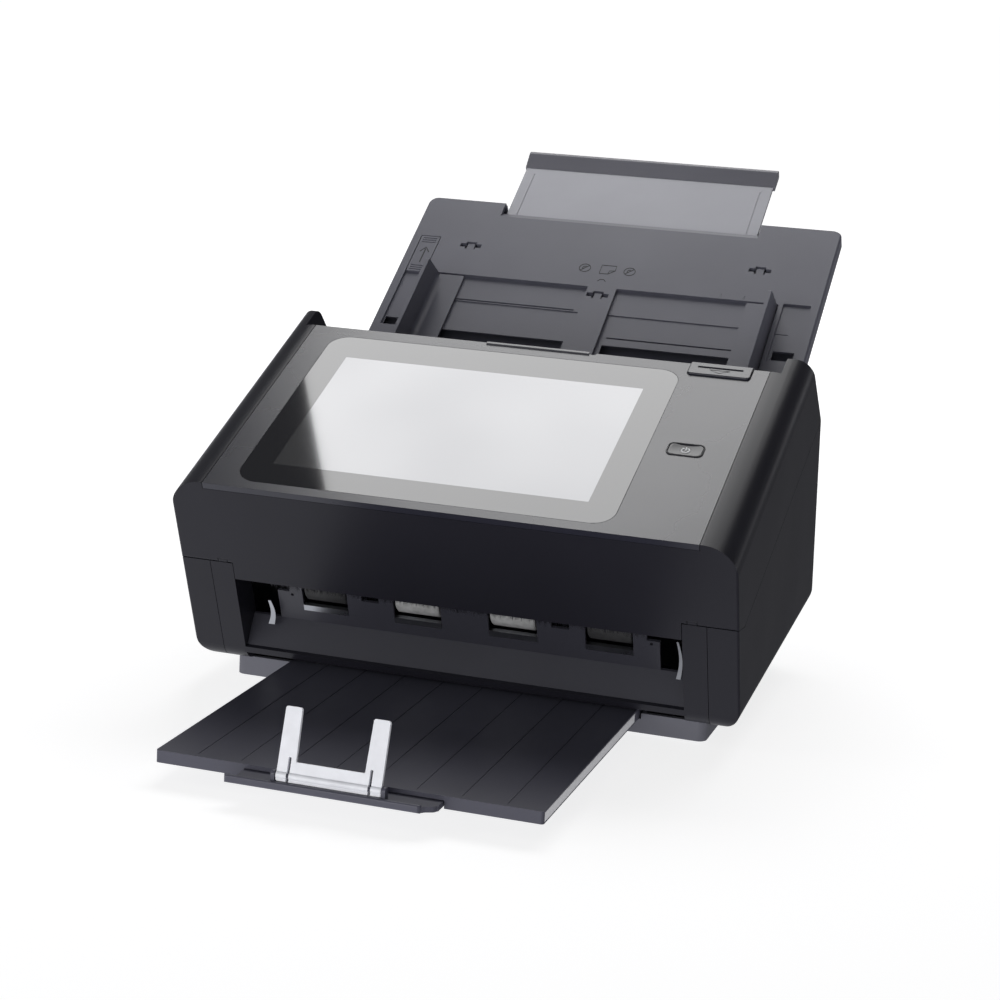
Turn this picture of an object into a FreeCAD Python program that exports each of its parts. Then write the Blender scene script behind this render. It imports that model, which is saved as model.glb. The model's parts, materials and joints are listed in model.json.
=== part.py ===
import FreeCAD, Part
import math
import os

# Sheet fed document scanner. Millimetres and degrees, +X to the right, +Y to the rear, +Z up.
# Three working frames are used. The base frame is level, with its zero at the middle of the control
# panel's front edge. The panel frame shares that zero and is tilted by panel_tilt: y runs up the panel
# and z stands off it. The tray frame has its zero at the middle of the input tray's top edge: y runs up
# the tray and z stands off its paper face. At the end everything is moved so that the zero is at the
# bottom centre of the whole scanner.

Vec = FreeCAD.Vector

# ------------------------------------------------------------------------------ overall sizes
body_width = 310.0
panel_tilt = 23.0
wall = 2.5               # moulded casing wall
seam = 0.3               # gap between neighbouring casings
running = 0.05           # radial clearance of a shaft in its hole
loose = 0.4              # gap round a piece that slides or swings
floor_level = -121.0     # what the rubber feet stand on

# ------------------------------------------------------------------------------ upper unit
panel_length = 168.8
panel_width = 270.6
panel_thickness = 3.0
panel_lip = 3.5          # height of the panel's folded front edge
roll_radius = 18.0       # rounded shoulder beside the panel
corner_radius = 1.2      # upright front corners
wing_length = 189.0      # side wings, from the front edge, before rounding
wing_radius = 13.0
wing_inner = 141.6       # half the clear width between the wings
rear_top = 217.0         # rear end of the side at the parting line
parting_front = -52.0    # parting line at the hinge
parting_step = -58.0     # parting line behind the front corner
parting_rear = -59.5
step_depth = 13.0
apron_bottom = -61.8     # lower edge of the front face, over the exit
hinge_y = 2.0
hinge_z = -50.0
hinge_pin_radius = 1.0
hinge_cup = 0.6          # how far the lower front edge reaches up round the hinge roll
knuckle_inner = 128.0
knuckle_outer = 133.0

glass_width = 208.0
glass_length = 152.7
glass_centre_x = -16.3
glass_front = 6.9
glass_radius = 12.0
glass_thickness = 1.4
display_width = 175.4
display_length = 112.4
display_centre_x = -16.9
display_front = 25.2
display_thickness = 5.0

power_width = 18.0
power_length = 9.6
power_x = 108.2
power_y = 82.4
latch_width = 35.4
latch_length = 11.6
latch_x = 108.3
latch_travel = 3.0
latch_rise = 1.2         # how far the latch stands above the panel

# ------------------------------------------------------------------------------ lower unit
side_seam = 138.2        # seam between front frame and side cover
exit_half = 125.0        # half width of the exit opening
exit_floor = -108.4
lip_height = 3.9
bottom_front = -118.5    # underside at the front corner
bottom_slope = 17.4      # underside below the panel frame, degrees
rear_lean = 11.6         # rear wall off the panel frame's z, degrees
hem_radius = 12.0        # rounded bottom edges
rear_shelf = -72.0       # top of the rear cover between the side covers

exit_wall = 16.5         # depth of the exit's inner wall
exit_wall_half = 108.5
exit_wall_foot = -97.0
exit_wall_top = -69.5
window_inner = 13.4      # inner pair of roller windows, from and to
window_inner_end = 40.8
window_outer = 67.6
window_outer_end = 94.0
window_bottom = -86.5
guide_level = -61.8      # lower paper guide
upper_guide_level = -58.0
guide_half = 113.0

frame_x = 131.0          # metal side frames
frame_thickness = 1.5
shaft_radius = 3.0
exit_shaft_y = 26.4
exit_shaft_z = -77.2
exit_roller_radius = 10.0
feed_shaft_y = 140.0
feed_roller_radius = 9.5
pinch_radius = 7.5
pinch_shaft_radius = 2.0
pick_roller_radius = 12.0
nip_gap = 0.3
gear_module = 1.0
gear_width = 5.0
gear_x = -146.0
feed_teeth = 20
pick_idler_teeth = 12
idler_teeth = 50
motor_teeth = 14
pulley_radius = 8.0
pulley_width = 7.4
motor_radius = 19.0
motor_length = 38.0
motor_boss_radius = 6.0
pick_direction = -4.0    # from the feed shaft to the pick shaft, degrees
idler_direction = -107.0
motor_direction = -160.0
feed_phase = 0.0
bearing_radius = 5.0
stud_radius = 2.0
upper_frame_half = 129.0
hook_y = 146.0
hook_z = -38.0
upper_scan_y = 110.4
lower_scan_y = 74.4
sensor_y = 104.0
sensor_z = -68.5
sensor_pin_radius = 1.2
sensor_room = 1.5
shelf_half = 140.8
board_x = 120.5
board_sheet = 1.6
board_holes = [(76, -90), (76, -124), (170, -90), (170, -126)]
board_parts = [               # y, z, length, height, thickness
    (98, -105, 22, 22, 2.2), (132, -100, 16, 12, 1.4), (152, -118, 12, 18, 1.4),
    (92, -124, 8, 8, 7.0), (118, -124, 26, 8, 6.0),
]
port_level = -128.0
port_gap = 0.2
ports_across = {              # x, width, height
    "power": (104.0, 11.0, 11.0), "usb": (78.0, 13.0, 11.5), "network": (54.0, 16.5, 13.5),
}

# ------------------------------------------------------------------------------ base and output tray
pedestal_half = 135.0
pedestal_front = 54.0
pedestal_rear = 236.0
pedestal_bottom = -119.5
foot_radius = 8.0
output_half = 98.5
output_front = -126.5
output_top = -105.0
output_thickness = 6.3
output_rear = 103.0
slide_left = -51.6
slide_right = 49.4
slide_thickness = 2.8
slide_rear = -60.0
slide_lip_left = -56.4
slide_lip_right = 42.8
slide_lip_front = -141.5
slide_lip_top = -106.2
stop_half = 26.5
stop_centre = -4.2
stop_pin_y = -137.0
stop_pin_z = -103.6
stop_pin_radius = 1.0
stop_height = 32.8       # above its pin
stop_prong = 8.4
stop_bar = 7.0           # top of the cross bar above the pin
stop_foot = 2.9          # below the pin
stop_thickness = 2.0
stop_lean = 17.0         # towards the scanner when it is up

# ------------------------------------------------------------------------------ input tray
tray_angle = 34.6
tray_top_y = 358.0
tray_top_z = 127.7
tray_half = 137.0
tray_length = 178.0
tray_face = 2.5          # thickness of the front shell
tray_depth = 10.0        # overall thickness
tray_hinge_t = -172.0
tray_hinge_n = -4.0
tray_pin_radius = 2.5
neck_half = 133.6        # tray half width beside its hinge
notch_half = 85.2
notch_depth = 14.3
extension_half = 83.3
extension_thickness = 2.2
extension_level = -4.0
extension_out = 42.0     # where the lip begins, beyond the tray's edge
extension_lip = 15.0
extension_inside = 29.0
recess_start = -74.0
recess_depth = 2.0
recess_half = 111.2
strip_left = -10.0
strip_right = 8.5
guide_outer = 110.3      # outer face of a side guide
guide_fin = 2.3
guide_base = 19.0
guide_height = 21.6
guide_base_end = -140.0
guide_fin_end = -166.0
pinion_teeth = 18
pinion_t = -106.0
rack_depth = 4.3
rack_level = -6.4
rack_thickness = 2.5
mode_x = -124.6
mode_width = 12.4
mode_length = 34.6
mode_pocket_end = -126.5
mode_pocket_depth = 1.6
grip_overhang = 1.2      # how far the extension's lip hangs below its plate
pinion_post_radius = 2.9
rack_gap = 0.2
stem_slot = 1.3          # slot in the tray that a guide's stem runs in
guide_stem = (96.0, 104.0)
size_marks = [74.4, 89.0, 108.3]
clip_places = [(-95.9, -45.6), (-2.0, -81.3), (93.3, -44.6)]
bracket_inner = 134.2
bracket_outer = 137.4

# ------------------------------------------------------------------------------ worked-out places
tilt = math.radians(panel_tilt)
hinge_roll = hinge_z - parting_front     # radius of the rolled edge along the cover's hinge
hinge_clear = hinge_roll + seam
exit_pinch_z = exit_shaft_z + exit_roller_radius + pinch_radius + nip_gap
feed_shaft_z = guide_level + 0.5 - feed_roller_radius
feed_pinch_z = feed_shaft_z + feed_roller_radius + pinch_radius + nip_gap
pick_reach = gear_module * (feed_teeth + pick_idler_teeth)
pick_y = feed_shaft_y + pick_reach * math.cos(math.radians(pick_direction))
pick_z = feed_shaft_z + pick_reach * math.sin(math.radians(pick_direction))
pick_idler_y = (feed_shaft_y + pick_y) / 2
pick_idler_z = (feed_shaft_z + pick_z) / 2
idler_reach = gear_module * (feed_teeth + idler_teeth) / 2
idler_y = feed_shaft_y + idler_reach * math.cos(math.radians(idler_direction))
idler_z = feed_shaft_z + idler_reach * math.sin(math.radians(idler_direction))
motor_reach = gear_module * (idler_teeth + motor_teeth) / 2
motor_y = idler_y + motor_reach * math.cos(math.radians(motor_direction))
motor_z = idler_z + motor_reach * math.sin(math.radians(motor_direction))
pinion_radius = gear_module * pinion_teeth / 2
rack_slots = [
    (pinion_t + pinion_radius + 1.2, pinion_t + pinion_radius + 1.2 + rack_depth),
    (pinion_t - pinion_radius - 1.2 - rack_depth, pinion_t - pinion_radius - 1.2),
]
stem_slots = [
    (rack_slots[0][0], rack_slots[0][0] + stem_slot),
    (rack_slots[1][1] - stem_slot, rack_slots[1][1]),
]


# ------------------------------------------------------------------------------ shape helpers
def box(x0, x1, y0, y1, z0, z1):
    return Part.makeBox(x1 - x0, y1 - y0, z1 - z0, Vec(x0, y0, z0))


def rod(radius, axis, low, high, a, b):
    """Cylinder along an axis between two places; a and b are its other two coordinates."""
    starts = {"x": Vec(low, a, b), "y": Vec(a, low, b), "z": Vec(a, b, low)}
    ways = {"x": Vec(1, 0, 0), "y": Vec(0, 1, 0), "z": Vec(0, 0, 1)}
    return Part.makeCylinder(radius, high - low, starts[axis], ways[axis])


def prism(points, axis, low, high):
    """A flat outline pushed along an axis. A point's third number rounds that corner."""
    to_space = {
        "x": lambda p: Vec(low, p[0], p[1]),
        "y": lambda p: Vec(p[0], low, p[1]),
        "z": lambda p: Vec(p[0], p[1], low),
    }[axis]
    way = {"x": Vec(1, 0, 0), "y": Vec(0, 1, 0), "z": Vec(0, 0, 1)}[axis]
    runs = []
    for i, point in enumerate(points):
        corner = to_space(point)
        radius = point[2] if len(point) > 2 else 0
        if not radius:
            runs.append((corner, None, corner))
            continue
        back = (to_space(points[i - 1]) - corner).normalize()
        ahead = (to_space(points[(i + 1) % len(points)]) - corner).normalize()
        half = back.getAngle(ahead) / 2
        reach = radius / math.tan(half)
        middle = corner + (back + ahead).normalize() * (radius / math.sin(half) - radius)
        runs.append((corner + back * reach, middle, corner + ahead * reach))
    edges = []
    for i, (start, middle, end) in enumerate(runs):
        if middle:
            edges.append(Part.Arc(start, middle, end).toShape())
        following = runs[(i + 1) % len(runs)][0]
        if end.distanceToPoint(following) > 1e-6:
            edges.append(Part.makeLine(end, following))
    return Part.Face(Part.Wire(edges)).extrude(way * (high - low))


def pad(x0, x1, y0, y1, z0, z1, radius):
    """A block with its four upright corners rounded."""
    corners = [(x0, y0, radius), (x1, y0, radius), (x1, y1, radius), (x0, y1, radius)]
    return prism(corners, "z", z0, z1)


def fuse(shapes):
    return shapes[0].multiFuse(shapes[1:]).removeSplitter() if len(shapes) > 1 else shapes[0]


def cut(shape, tools):
    return shape.cut(Part.makeCompound(tools)) if tools else shape


def mirrored(shape):
    return shape.mirror(Vec(0, 0, 0), Vec(1, 0, 0))


def both_sides(shape):
    return [shape, mirrored(shape)]


def turned(shape, degrees, centre=Vec(0, 0, 0), axis=Vec(1, 0, 0)):
    copy = shape.copy()
    copy.rotate(centre, axis, degrees)
    return copy


def gear_outline(teeth, module, phase, backlash=0.16):
    """Points of a spur gear with straight-sided steps along true involute flanks; phase in degrees."""
    pitch = module * teeth / 2
    pressure = math.radians(20)
    base = pitch * math.cos(pressure)
    tip = pitch + 0.9 * module
    root = pitch - 1.15 * module
    half = math.pi / (2 * teeth) - backlash / (2 * pitch)
    start = max(base, root)

    def flank(radius):
        angle = math.acos(min(1, base / radius))
        return half + (math.tan(pressure) - pressure) - (math.tan(angle) - angle)

    radii = [start + (tip - start) * k / 4 for k in range(5)]
    points = []
    for tooth in range(teeth):
        middle = math.radians(phase) + 2 * math.pi * tooth / teeth
        side = [(root, -flank(start))] + [(r, -flank(r)) for r in radii]
        for radius, angle in side + [(r, -a) for r, a in reversed(side)]:
            points.append((radius * math.cos(middle + angle), radius * math.sin(middle + angle)))
    clean = [points[0]]
    for point in points[1:]:
        if math.dist(point, clean[-1]) > 1e-4:
            clean.append(point)
    return clean


def spur_gear(teeth, x0, x1, y, z, phase, bore):
    points = [(a + y, b + z) for a, b in gear_outline(teeth, gear_module, phase)]
    return cut(prism(points, "x", x0, x1), [rod(bore, "x", x0 - 1, x1 + 1, y, z)])


def meshed_phase(teeth_a, phase_a, teeth_b, direction):
    """Phase of gear b so that it meshes with gear a, which lies at minus direction from it."""
    part = ((direction - phase_a) * teeth_a / 360) % 1
    return direction + 180 - (0.5 - part) * 360 / teeth_b


idler_phase = meshed_phase(feed_teeth, feed_phase, idler_teeth, idler_direction)
pick_idler_phase = meshed_phase(feed_teeth, feed_phase, pick_idler_teeth, pick_direction)
pick_phase = meshed_phase(pick_idler_teeth, pick_idler_phase, feed_teeth, pick_direction)


# ------------------------------------------------------------------------------ casing hulls
beyond = 60.0    # how far cutting shapes run past the casings
slope = math.tan(math.radians(bottom_slope))
lean = math.tan(math.radians(rear_lean))


def rear_at(z):
    """Rear wall in the panel frame, below the parting line."""
    return rear_top + lean * (z - parting_rear)


def parting_points(gap):
    """The joint between the two casings, from the front; gap lowers it for the lower one."""
    return [
        (hinge_y, parting_front - gap),
        (step_depth, parting_step - gap),
        (rear_top, parting_rear - gap),
        (rear_top + beyond, parting_rear - gap),
    ]


def plan_block(inset, low, high):
    """The casing seen from above the panel, with rounded front corners."""
    half = body_width / 2 - inset
    radius = max(corner_radius - inset, 0)   # a wall thicker than the radius has square corners inside
    return prism(
        [(-half, inset, radius), (half, inset, radius), (half, 300), (-half, 300)], "z", low, high
    )


def cover_block(inset):
    """The upper casing as a solid, smaller by inset on every outer side."""
    half = body_width / 2 - inset
    lean_in = (rear_top - wing_length) / -parting_rear
    profile = [
        (inset, -inset),
        (wing_length - inset, -inset, wing_radius - inset / 2),
        (rear_top - inset * 1.1, parting_rear),
        (rear_top - inset * 1.1 + lean_in * 60, parting_rear - 60),
        (inset, parting_rear - 60),
    ]
    side = prism(profile, "x", -half, half)
    roll = roll_radius - inset
    section = prism(
        [(-half, -200), (half, -200), (half, -inset, roll), (-half, -inset, roll)], "y", -5, 300
    )
    return side.common(section).common(plan_block(inset, -200, 10))


def lower_block(inset):
    """The lower casing as a solid, smaller by inset on every outer side."""
    half = body_width / 2 - inset
    drop = inset / math.cos(math.radians(bottom_slope))
    level = bottom_front + drop
    far = 400.0
    corner = rear_at(0) - inset
    foot_y = (corner + lean * level) / (1 + lean * slope)
    profile = [
        (inset, 20),
        (inset, level - slope * inset, hem_radius - inset),
        (foot_y, level - slope * foot_y, hem_radius - inset),
        (corner + lean * 20, 20),
    ]
    side = prism(profile, "x", -half, half)
    radius = hem_radius + 2 - inset
    section = prism(
        [(-half, far), (-half, 0, radius), (half, 0, radius), (half, far)], "y", -far, far
    )
    section = turned(section, -bottom_slope)
    section.translate(Vec(0, 0, level))
    return side.common(section).common(plan_block(inset, -300, 30))


def over_parting():
    """Everything above the lower casing's top edge."""
    cup = [(-beyond, beyond), (-beyond, parting_front + hinge_cup), (0.5, parting_front + hinge_cup)]
    points = cup + parting_points(seam)
    block = prism(points + [(rear_top + beyond, beyond)], "x", -200, 200)
    return fuse([block, rod(hinge_clear, "x", -200, 200, hinge_y, hinge_z)])


def under_cover():
    """Everything below the cover's bottom edge, with the rolled front edge left in."""
    points = [(-beyond, -300), (-beyond, hinge_z), (hinge_y, hinge_z)] + parting_points(0)
    block = prism(points + [(rear_top + beyond, -300)], "x", -200, 200)
    return block.cut(rod(hinge_roll, "x", -200, 200, hinge_y, hinge_z))


# ------------------------------------------------------------------------------ upper unit
def cover_shell():
    outer = cover_block(0)
    inner_half = body_width / 2 - wall
    rear_inside = panel_length - wall
    main = cover_block(wall).common(
        prism(
            [(0, 10), (rear_inside, 10), (rear_inside, -3), (rear_inside - 9, -90), (0, -90)],
            "x", -inner_half, inner_half,
        )
    )
    behind = box(wing_inner + wall, inner_half, rear_inside - 20, 300, -200, 10)
    wings = cover_block(wall).common(fuse([behind, mirrored(behind)]))
    shell = cut(outer, [main, wings, under_cover()])
    mouth = prism(
        [
            (panel_length, 20), (panel_length, -3), (panel_length - 9, -70), (300, -70), (300, 20),
        ],
        "x", -wing_inner, wing_inner,
    )
    half = panel_width / 2 + seam
    bed = box(-half, half, -5, panel_length + 1, -panel_lip - 0.2, 20)
    shell = cut(shell, [mouth, bed])
    apron = box(-exit_half + seam, exit_half - seam, 0, wall, apron_bottom, parting_front + 3)
    ledges = [
        box(-half - 2, half + 2, wall - 0.5, wall + 4, -panel_lip - 2.7, -panel_lip - 0.2),
        box(-half - 2, half + 2, rear_inside - 5, rear_inside, -panel_lip - 2.7, -panel_lip - 0.2),
    ]
    boss_z = (parting_front, hinge_z + 4)
    inner_boss = box(knuckle_inner - 2.4, knuckle_inner - 0.3, 1.5, hinge_y + 2.6, *boss_z)
    outer_boss = box(knuckle_outer + 0.3, knuckle_outer + 3.6, 1.5, hinge_y + 2.6, *boss_z)
    shell = fuse([shell, apron] + ledges + both_sides(inner_boss) + both_sides(outer_boss))
    room = rod(hinge_clear, "x", knuckle_inner - seam, knuckle_outer + seam, hinge_y, hinge_z)
    slot = box(knuckle_inner - seam, knuckle_outer + seam, -1, hinge_y + hinge_clear, -60, hinge_z)
    hole = rod(
        hinge_pin_radius + running, "x", knuckle_inner - 3, knuckle_outer + 3, hinge_y, hinge_z
    )
    latch_room = latch_outline(0.6, -4.5 - latch_travel - 1.0, 5)
    return cut(shell, both_sides(room) + both_sides(slot) + both_sides(hole) + [latch_room])


def latch_outline(gap, low, high):
    x0 = latch_x - latch_width / 2 - gap
    x1 = latch_x + latch_width / 2 + gap
    y0 = panel_length - latch_length - gap
    y1 = panel_length + 2 * gap
    return prism([(x0, y0, 2 + gap), (x1, y0, 2 + gap), (x1, y1), (x0, y1)], "z", low, high)


def glass_outline(gap, low, high):
    x0 = glass_centre_x - glass_width / 2 - gap
    x1 = glass_centre_x + glass_width / 2 + gap
    y1 = glass_front + glass_length + gap
    return pad(x0, x1, glass_front - gap, y1, low, high, glass_radius + gap)


def display_outline(gap, low, high):
    x0 = display_centre_x - display_width / 2 - gap
    x1 = display_centre_x + display_width / 2 + gap
    y1 = display_front + display_length + gap
    return pad(x0, x1, display_front - gap, y1, low, high, 1.0)


def power_outline(gap, low, high):
    x0 = power_x - power_width / 2 - gap
    x1 = power_x + power_width / 2 + gap
    y0 = power_y - power_length / 2 - gap
    y1 = power_y + power_length / 2 + gap
    return pad(x0, x1, y0, y1, low, high, 2.2 + gap)


def control_panel():
    half = panel_width / 2
    plate = box(-half, half, 0, panel_length, -panel_thickness, 0)
    lip = box(-half, half, 0, wall - 0.2, -panel_lip, 0)
    rear = box(-half, half, panel_length - wall, panel_length, -panel_lip, 0)
    ridge = prism(
        [(panel_length - 2.4, 0), (panel_length - 1.8, 0.8), (panel_length, 0.8), (panel_length, 0)],
        "x", -29.5, 31.5,
    )
    notch = rod(2.2, "z", -panel_thickness - 2, 2, 33.5, panel_length + 0.4)
    window = display_outline(1.0, -10, 1)
    return cut(
        fuse([plate, lip, rear, ridge]),
        [
            glass_outline(0.15, -glass_thickness - 0.1, 5),
            window,
            power_outline(0.25, -10, 5),
            latch_outline(0.35, -10, 5),
            notch,
        ],
    )


def power_button():
    cap = power_outline(0, -panel_thickness - 1.2, 0.25)
    dish = Part.makeSphere(60, Vec(power_x, power_y, 60 - 0.35))
    flange = power_outline(1.2, -panel_thickness - 2.0, -panel_thickness - 1.2)
    return fuse([cap.cut(dish), flange])


def release_latch():
    cap = latch_outline(0, -4.5, latch_rise)
    rim = [e for e in cap.Edges if e.BoundBox.ZMin > latch_rise - 1e-6 and e.BoundBox.YMin < panel_length]
    cap = cap.makeFillet(0.7, rim)
    groove = pad(latch_x - 13, latch_x + 13, 163.6, 165.4, latch_rise - 0.8, latch_rise + 1, 0.8)
    step = box(latch_x - 30, latch_x + 30, panel_length - 0.8, panel_length + 5, -5, -2.0)
    stem = box(latch_x - 4, latch_x + 4, 158.5, 162.5, -10, -4.5)
    return fuse([cut(cap, [groove, step]), stem])


def upper_frame():
    sheet = 1.5
    half = upper_frame_half
    side = prism(
        [
            (22, -10), (154, -10), (154, -30), (150, -57), (40, -57), (22, -64, 2), (18, -50),
        ],
        "x", half - sheet, half,
    )
    deck = box(-half, half, 30, 150, -20, -20 + sheet)
    rib = box(-half, half, 148.5, 150, -30, -18.5)
    holes = [
        rod(pinch_shaft_radius + running, "x", -half - 1, half + 1, exit_shaft_y, exit_pinch_z),
        rod(pinch_shaft_radius + running, "x", -half - 1, half + 1, feed_shaft_y, feed_pinch_z),
        rod(shaft_radius + running, "x", -half - 1, half + 1, hook_y, hook_z),
    ]
    return cut(fuse(both_sides(side) + [deck, rib]), holes)


def upper_guide():
    """Paper guide under the upper unit, turned down over the exit rollers."""
    sheet = 1.5
    level = upper_guide_level
    plate = prism(
        [
            (150, level), (44, level), (35, level - 2.5), (35, level - 1.0), (44, level + sheet),
            (150, level + sheet), (157, level + 5), (158, level + 4),
        ],
        "x", -guide_half, guide_half,
    )
    cuts = [box(-99, 99, 95.4, 125.4, level - 1, level + 3)]
    reach = pinch_radius + 0.8
    y0, y1 = feed_shaft_y - reach, feed_shaft_y + reach
    for low, high in feed_spans():
        cuts.append(box(low - 1, high + 1, y0, y1, level - 3, level + 4))
    cuts.append(box(-17, 17, 150, 170, level - 3, level + 9))
    return cut(plate, cuts)


def roller_spans():
    inner = [(window_inner + 1.2, window_inner_end - 1.2), (window_outer + 1.2, window_outer_end - 1.2)]
    return inner + [(-high, -low) for low, high in inner]


def feed_spans():
    return [(20, 44), (66, 90), (-44, -20), (-90, -66)]


def rings(spans, radius, y, z):
    """Solid rings with broken edges, before their bores."""
    shapes = []
    for low, high in spans:
        ring = rod(radius, "x", low, high, y, z)
        edges = [e for e in ring.Edges if e.Curve.TypeId == "Part::GeomCircle"]
        shapes.append(ring.makeChamfer(0.9, edges))
    return shapes


def rollers(spans, radius, y, z):
    """Rubber rings pressed on a driven shaft."""
    bore = rod(shaft_radius, "x", -200, 200, y, z)
    return Part.makeCompound([ring.cut(bore) for ring in rings(spans, radius, y, z)])


def pinch_rollers(spans, y, z):
    """Idle rollers moulded on their own thin shaft."""
    half = upper_frame_half - 0.5
    return fuse([rod(pinch_shaft_radius, "x", -half, half, y, z)] + rings(spans, pinch_radius, y, z))


def shaft(y, z, x0, x1):
    return rod(shaft_radius, "x", x0, x1, y, z)


def scan_module(y, z0, z1, glass_low, glass_high):
    """Contact image sensor: a long block with a channel for its lamp, and the glass over it."""
    block = pad(-98, 98, y - 14, y + 14, z0, z1, 1.5)
    block = cut(block, [box(-92, 92, y - 4, y + 4, z0 + 3, z1 - 3)])
    return Part.makeCompound([block, box(-98.6, 98.6, y - 14.6, y + 14.6, glass_low, glass_high)])


def latch_hooks():
    """Two hooks hanging from the latch shaft, short of the strikers on the lower frames."""
    x0 = 121.0
    plate = prism(
        [
            (hook_y - 5, hook_z + 5, 2), (hook_y + 5, hook_z + 5, 2), (hook_y + 4, -57),
            (hook_y + 6.5, -60), (hook_y + 6.5, -62.5), (hook_y - 1, -64.5, 1), (hook_y - 1, -46),
        ],
        "x", x0, x0 + 2.5,
    )
    arm = box(100, 103, hook_y, hook_y + 16, hook_z - 3, hook_z + 3)
    bar = shaft(hook_y, hook_z, -128.8, 128.8)
    return fuse([bar, arm] + both_sides(plate))


def brush_fringe():
    """Anti-static brush clipped behind the lower edge of the front face."""
    holder = box(-107, 107, wall + 0.1, wall + 2.1, apron_bottom + 1, apron_bottom + 5.6)
    hairs = box(-106, 106, wall + 0.7, wall + 1.5, apron_bottom - 0.9, apron_bottom + 1)
    return fuse([holder, hairs])


# ------------------------------------------------------------------------------ lower unit
def casing_ring():
    """The lower casing's wall, open at the top along the parting line."""
    return lower_block(0).cut(lower_block(wall)).cut(over_parting())


def side_cover(ring):
    """Right side cover."""
    return ring.common(box(side_seam + seam / 2, 200, -10, 300, -250, 20))


def front_frame(ring):
    """Ear strips, their inner returns and the bar under the exit."""
    half = side_seam - seam / 2
    keep = box(-half, half, -10, 28, -250, 20)
    face = ring.common(keep)
    mouth = box(-exit_half, exit_half, -5, 40, exit_floor, 20)
    slot = box(-exit_half, exit_half, -5, 40, -250, exit_floor - lip_height)
    face = cut(face, [mouth, slot])
    bar = box(-exit_half - 1, exit_half + 1, 0, wall, exit_floor - lip_height, exit_floor)
    top = parting_step - 4
    returns = prism(
        [(wall - 0.2, top), (exit_wall + 3, top), (exit_wall + 3, -110), (wall - 0.2, -110)],
        "x", exit_half, exit_half + 2,
    )
    knuckle = rod(hinge_roll, "x", knuckle_inner, knuckle_outer, hinge_y, hinge_z)
    neck = hinge_roll - seam
    stem = box(knuckle_inner, knuckle_outer, hinge_y - neck, hinge_y + neck, hinge_z - 7, hinge_z)
    shape = fuse([face, bar] + both_sides(returns) + both_sides(knuckle) + both_sides(stem))
    hole = rod(hinge_pin_radius, "x", knuckle_inner - 1, knuckle_outer + 1, hinge_y, hinge_z)
    return cut(shape, both_sides(hole))


def hinge_pins():
    pin = rod(
        hinge_pin_radius, "x", knuckle_inner - 2.3, knuckle_outer + 2.6, hinge_y, hinge_z
    )
    return Part.makeCompound(both_sides(pin))


def bottom_cover(ring):
    half = side_seam - seam / 2
    keep = box(-half, half, 28.3, 182, -250, -100)
    keep = keep.cut(box(-output_half - 2, output_half + 2, 0, 70, -200, -80))
    return ring.common(keep)


def rear_cover(ring):
    half = side_seam - seam / 2
    keep = box(-half, half, 182.3, 300, -250, rear_shelf)
    cover = ring.common(keep)
    ports = [on_rear(port_outline(port, 0, -6, 6)) for port in ports_across.values()]
    slots = [on_rear(pad(x, x + 3, 12, 36, -5, 5, 1.4)) for x in range(-60, 61, 8)]
    return cut(cover, ports + slots)


def on_rear(shape):
    """Moves a shape drawn flat, x across, y up and z outwards, onto the rear wall's outer face."""
    copy = turned(shape, 180, axis=Vec(0, 0, 1))
    copy = turned(copy, -90 - rear_lean)
    copy = turned(copy, 180, axis=Vec(0, 1, 0))
    copy.translate(Vec(0, rear_at(port_level), port_level))
    return copy


def port_outline(port, gap, low, high):
    x, width, height = port
    return box(x - width / 2 + gap, x + width / 2 - gap, -height / 2 + gap, height / 2 - gap, low, high)


def data_ports():
    """Two sockets behind the rear wall, flush with it, open to the rear."""
    sockets = []
    for name, rim in (("usb", 2.0), ("network", 2.3)):
        body = port_outline(ports_across[name], port_gap, -14, -0.3)
        mouth = port_outline(ports_across[name], port_gap + rim, -9, 1)
        sockets.append(on_rear(body.cut(mouth)))
    return Part.makeCompound(sockets)


def dc_inlet():
    """Power socket with a centre pin."""
    port = ports_across["power"]
    body = cut(port_outline(port, port_gap, -13, -0.3), [rod(3.2, "z", -10, 1, port[0], 0)])
    return on_rear(fuse([body, rod(1.0, "z", -11, -1.2, port[0], 0)]))


def exit_guide():
    """Inner wall and sloping floor of the exit, one moulding."""
    sheet = 1.8
    wall_face = prism(
        [
            (exit_wall, exit_wall_foot), (exit_wall, exit_wall_top, 1.5),
            (exit_wall + 5, exit_wall_top + 1.5), (36, -64.4), (36, -66.2),
            (exit_wall + 5, exit_wall_top - 0.5), (exit_wall + sheet, exit_wall_top - 2),
            (exit_wall + sheet, exit_wall_foot - 1),
        ],
        "x", -exit_wall_half, exit_wall_half,
    )
    ramp = prism(
        [
            (wall + 0.1, exit_floor), (exit_wall, exit_wall_foot), (exit_wall + sheet, exit_wall_foot),
            (exit_wall + sheet, exit_wall_foot - 2), (wall + 0.1, exit_floor - 2),
        ],
        "x", -exit_half + 0.1, exit_half - 0.1,
    )
    shape = fuse([wall_face, ramp])
    cuts = []
    for low, high in window_spans():
        cuts.append(box(low, high, exit_wall - 3, 37, window_bottom, -60))
    for middle in (106.5, 54.0):
        for x in (-middle, middle):
            cuts.append(box(x - 5, x + 5, exit_wall - 1, exit_wall + 3, -78.5, -74))
    for x in (-100, 104):
        cuts.append(rod(0.9, "y", exit_wall - 1, exit_wall + 3, x, -80.5))
    return cut(shape, cuts)


def window_spans():
    inner = [(window_inner, window_inner_end), (window_outer, window_outer_end)]
    return inner + [(-high, -low) for low, high in inner]


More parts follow.
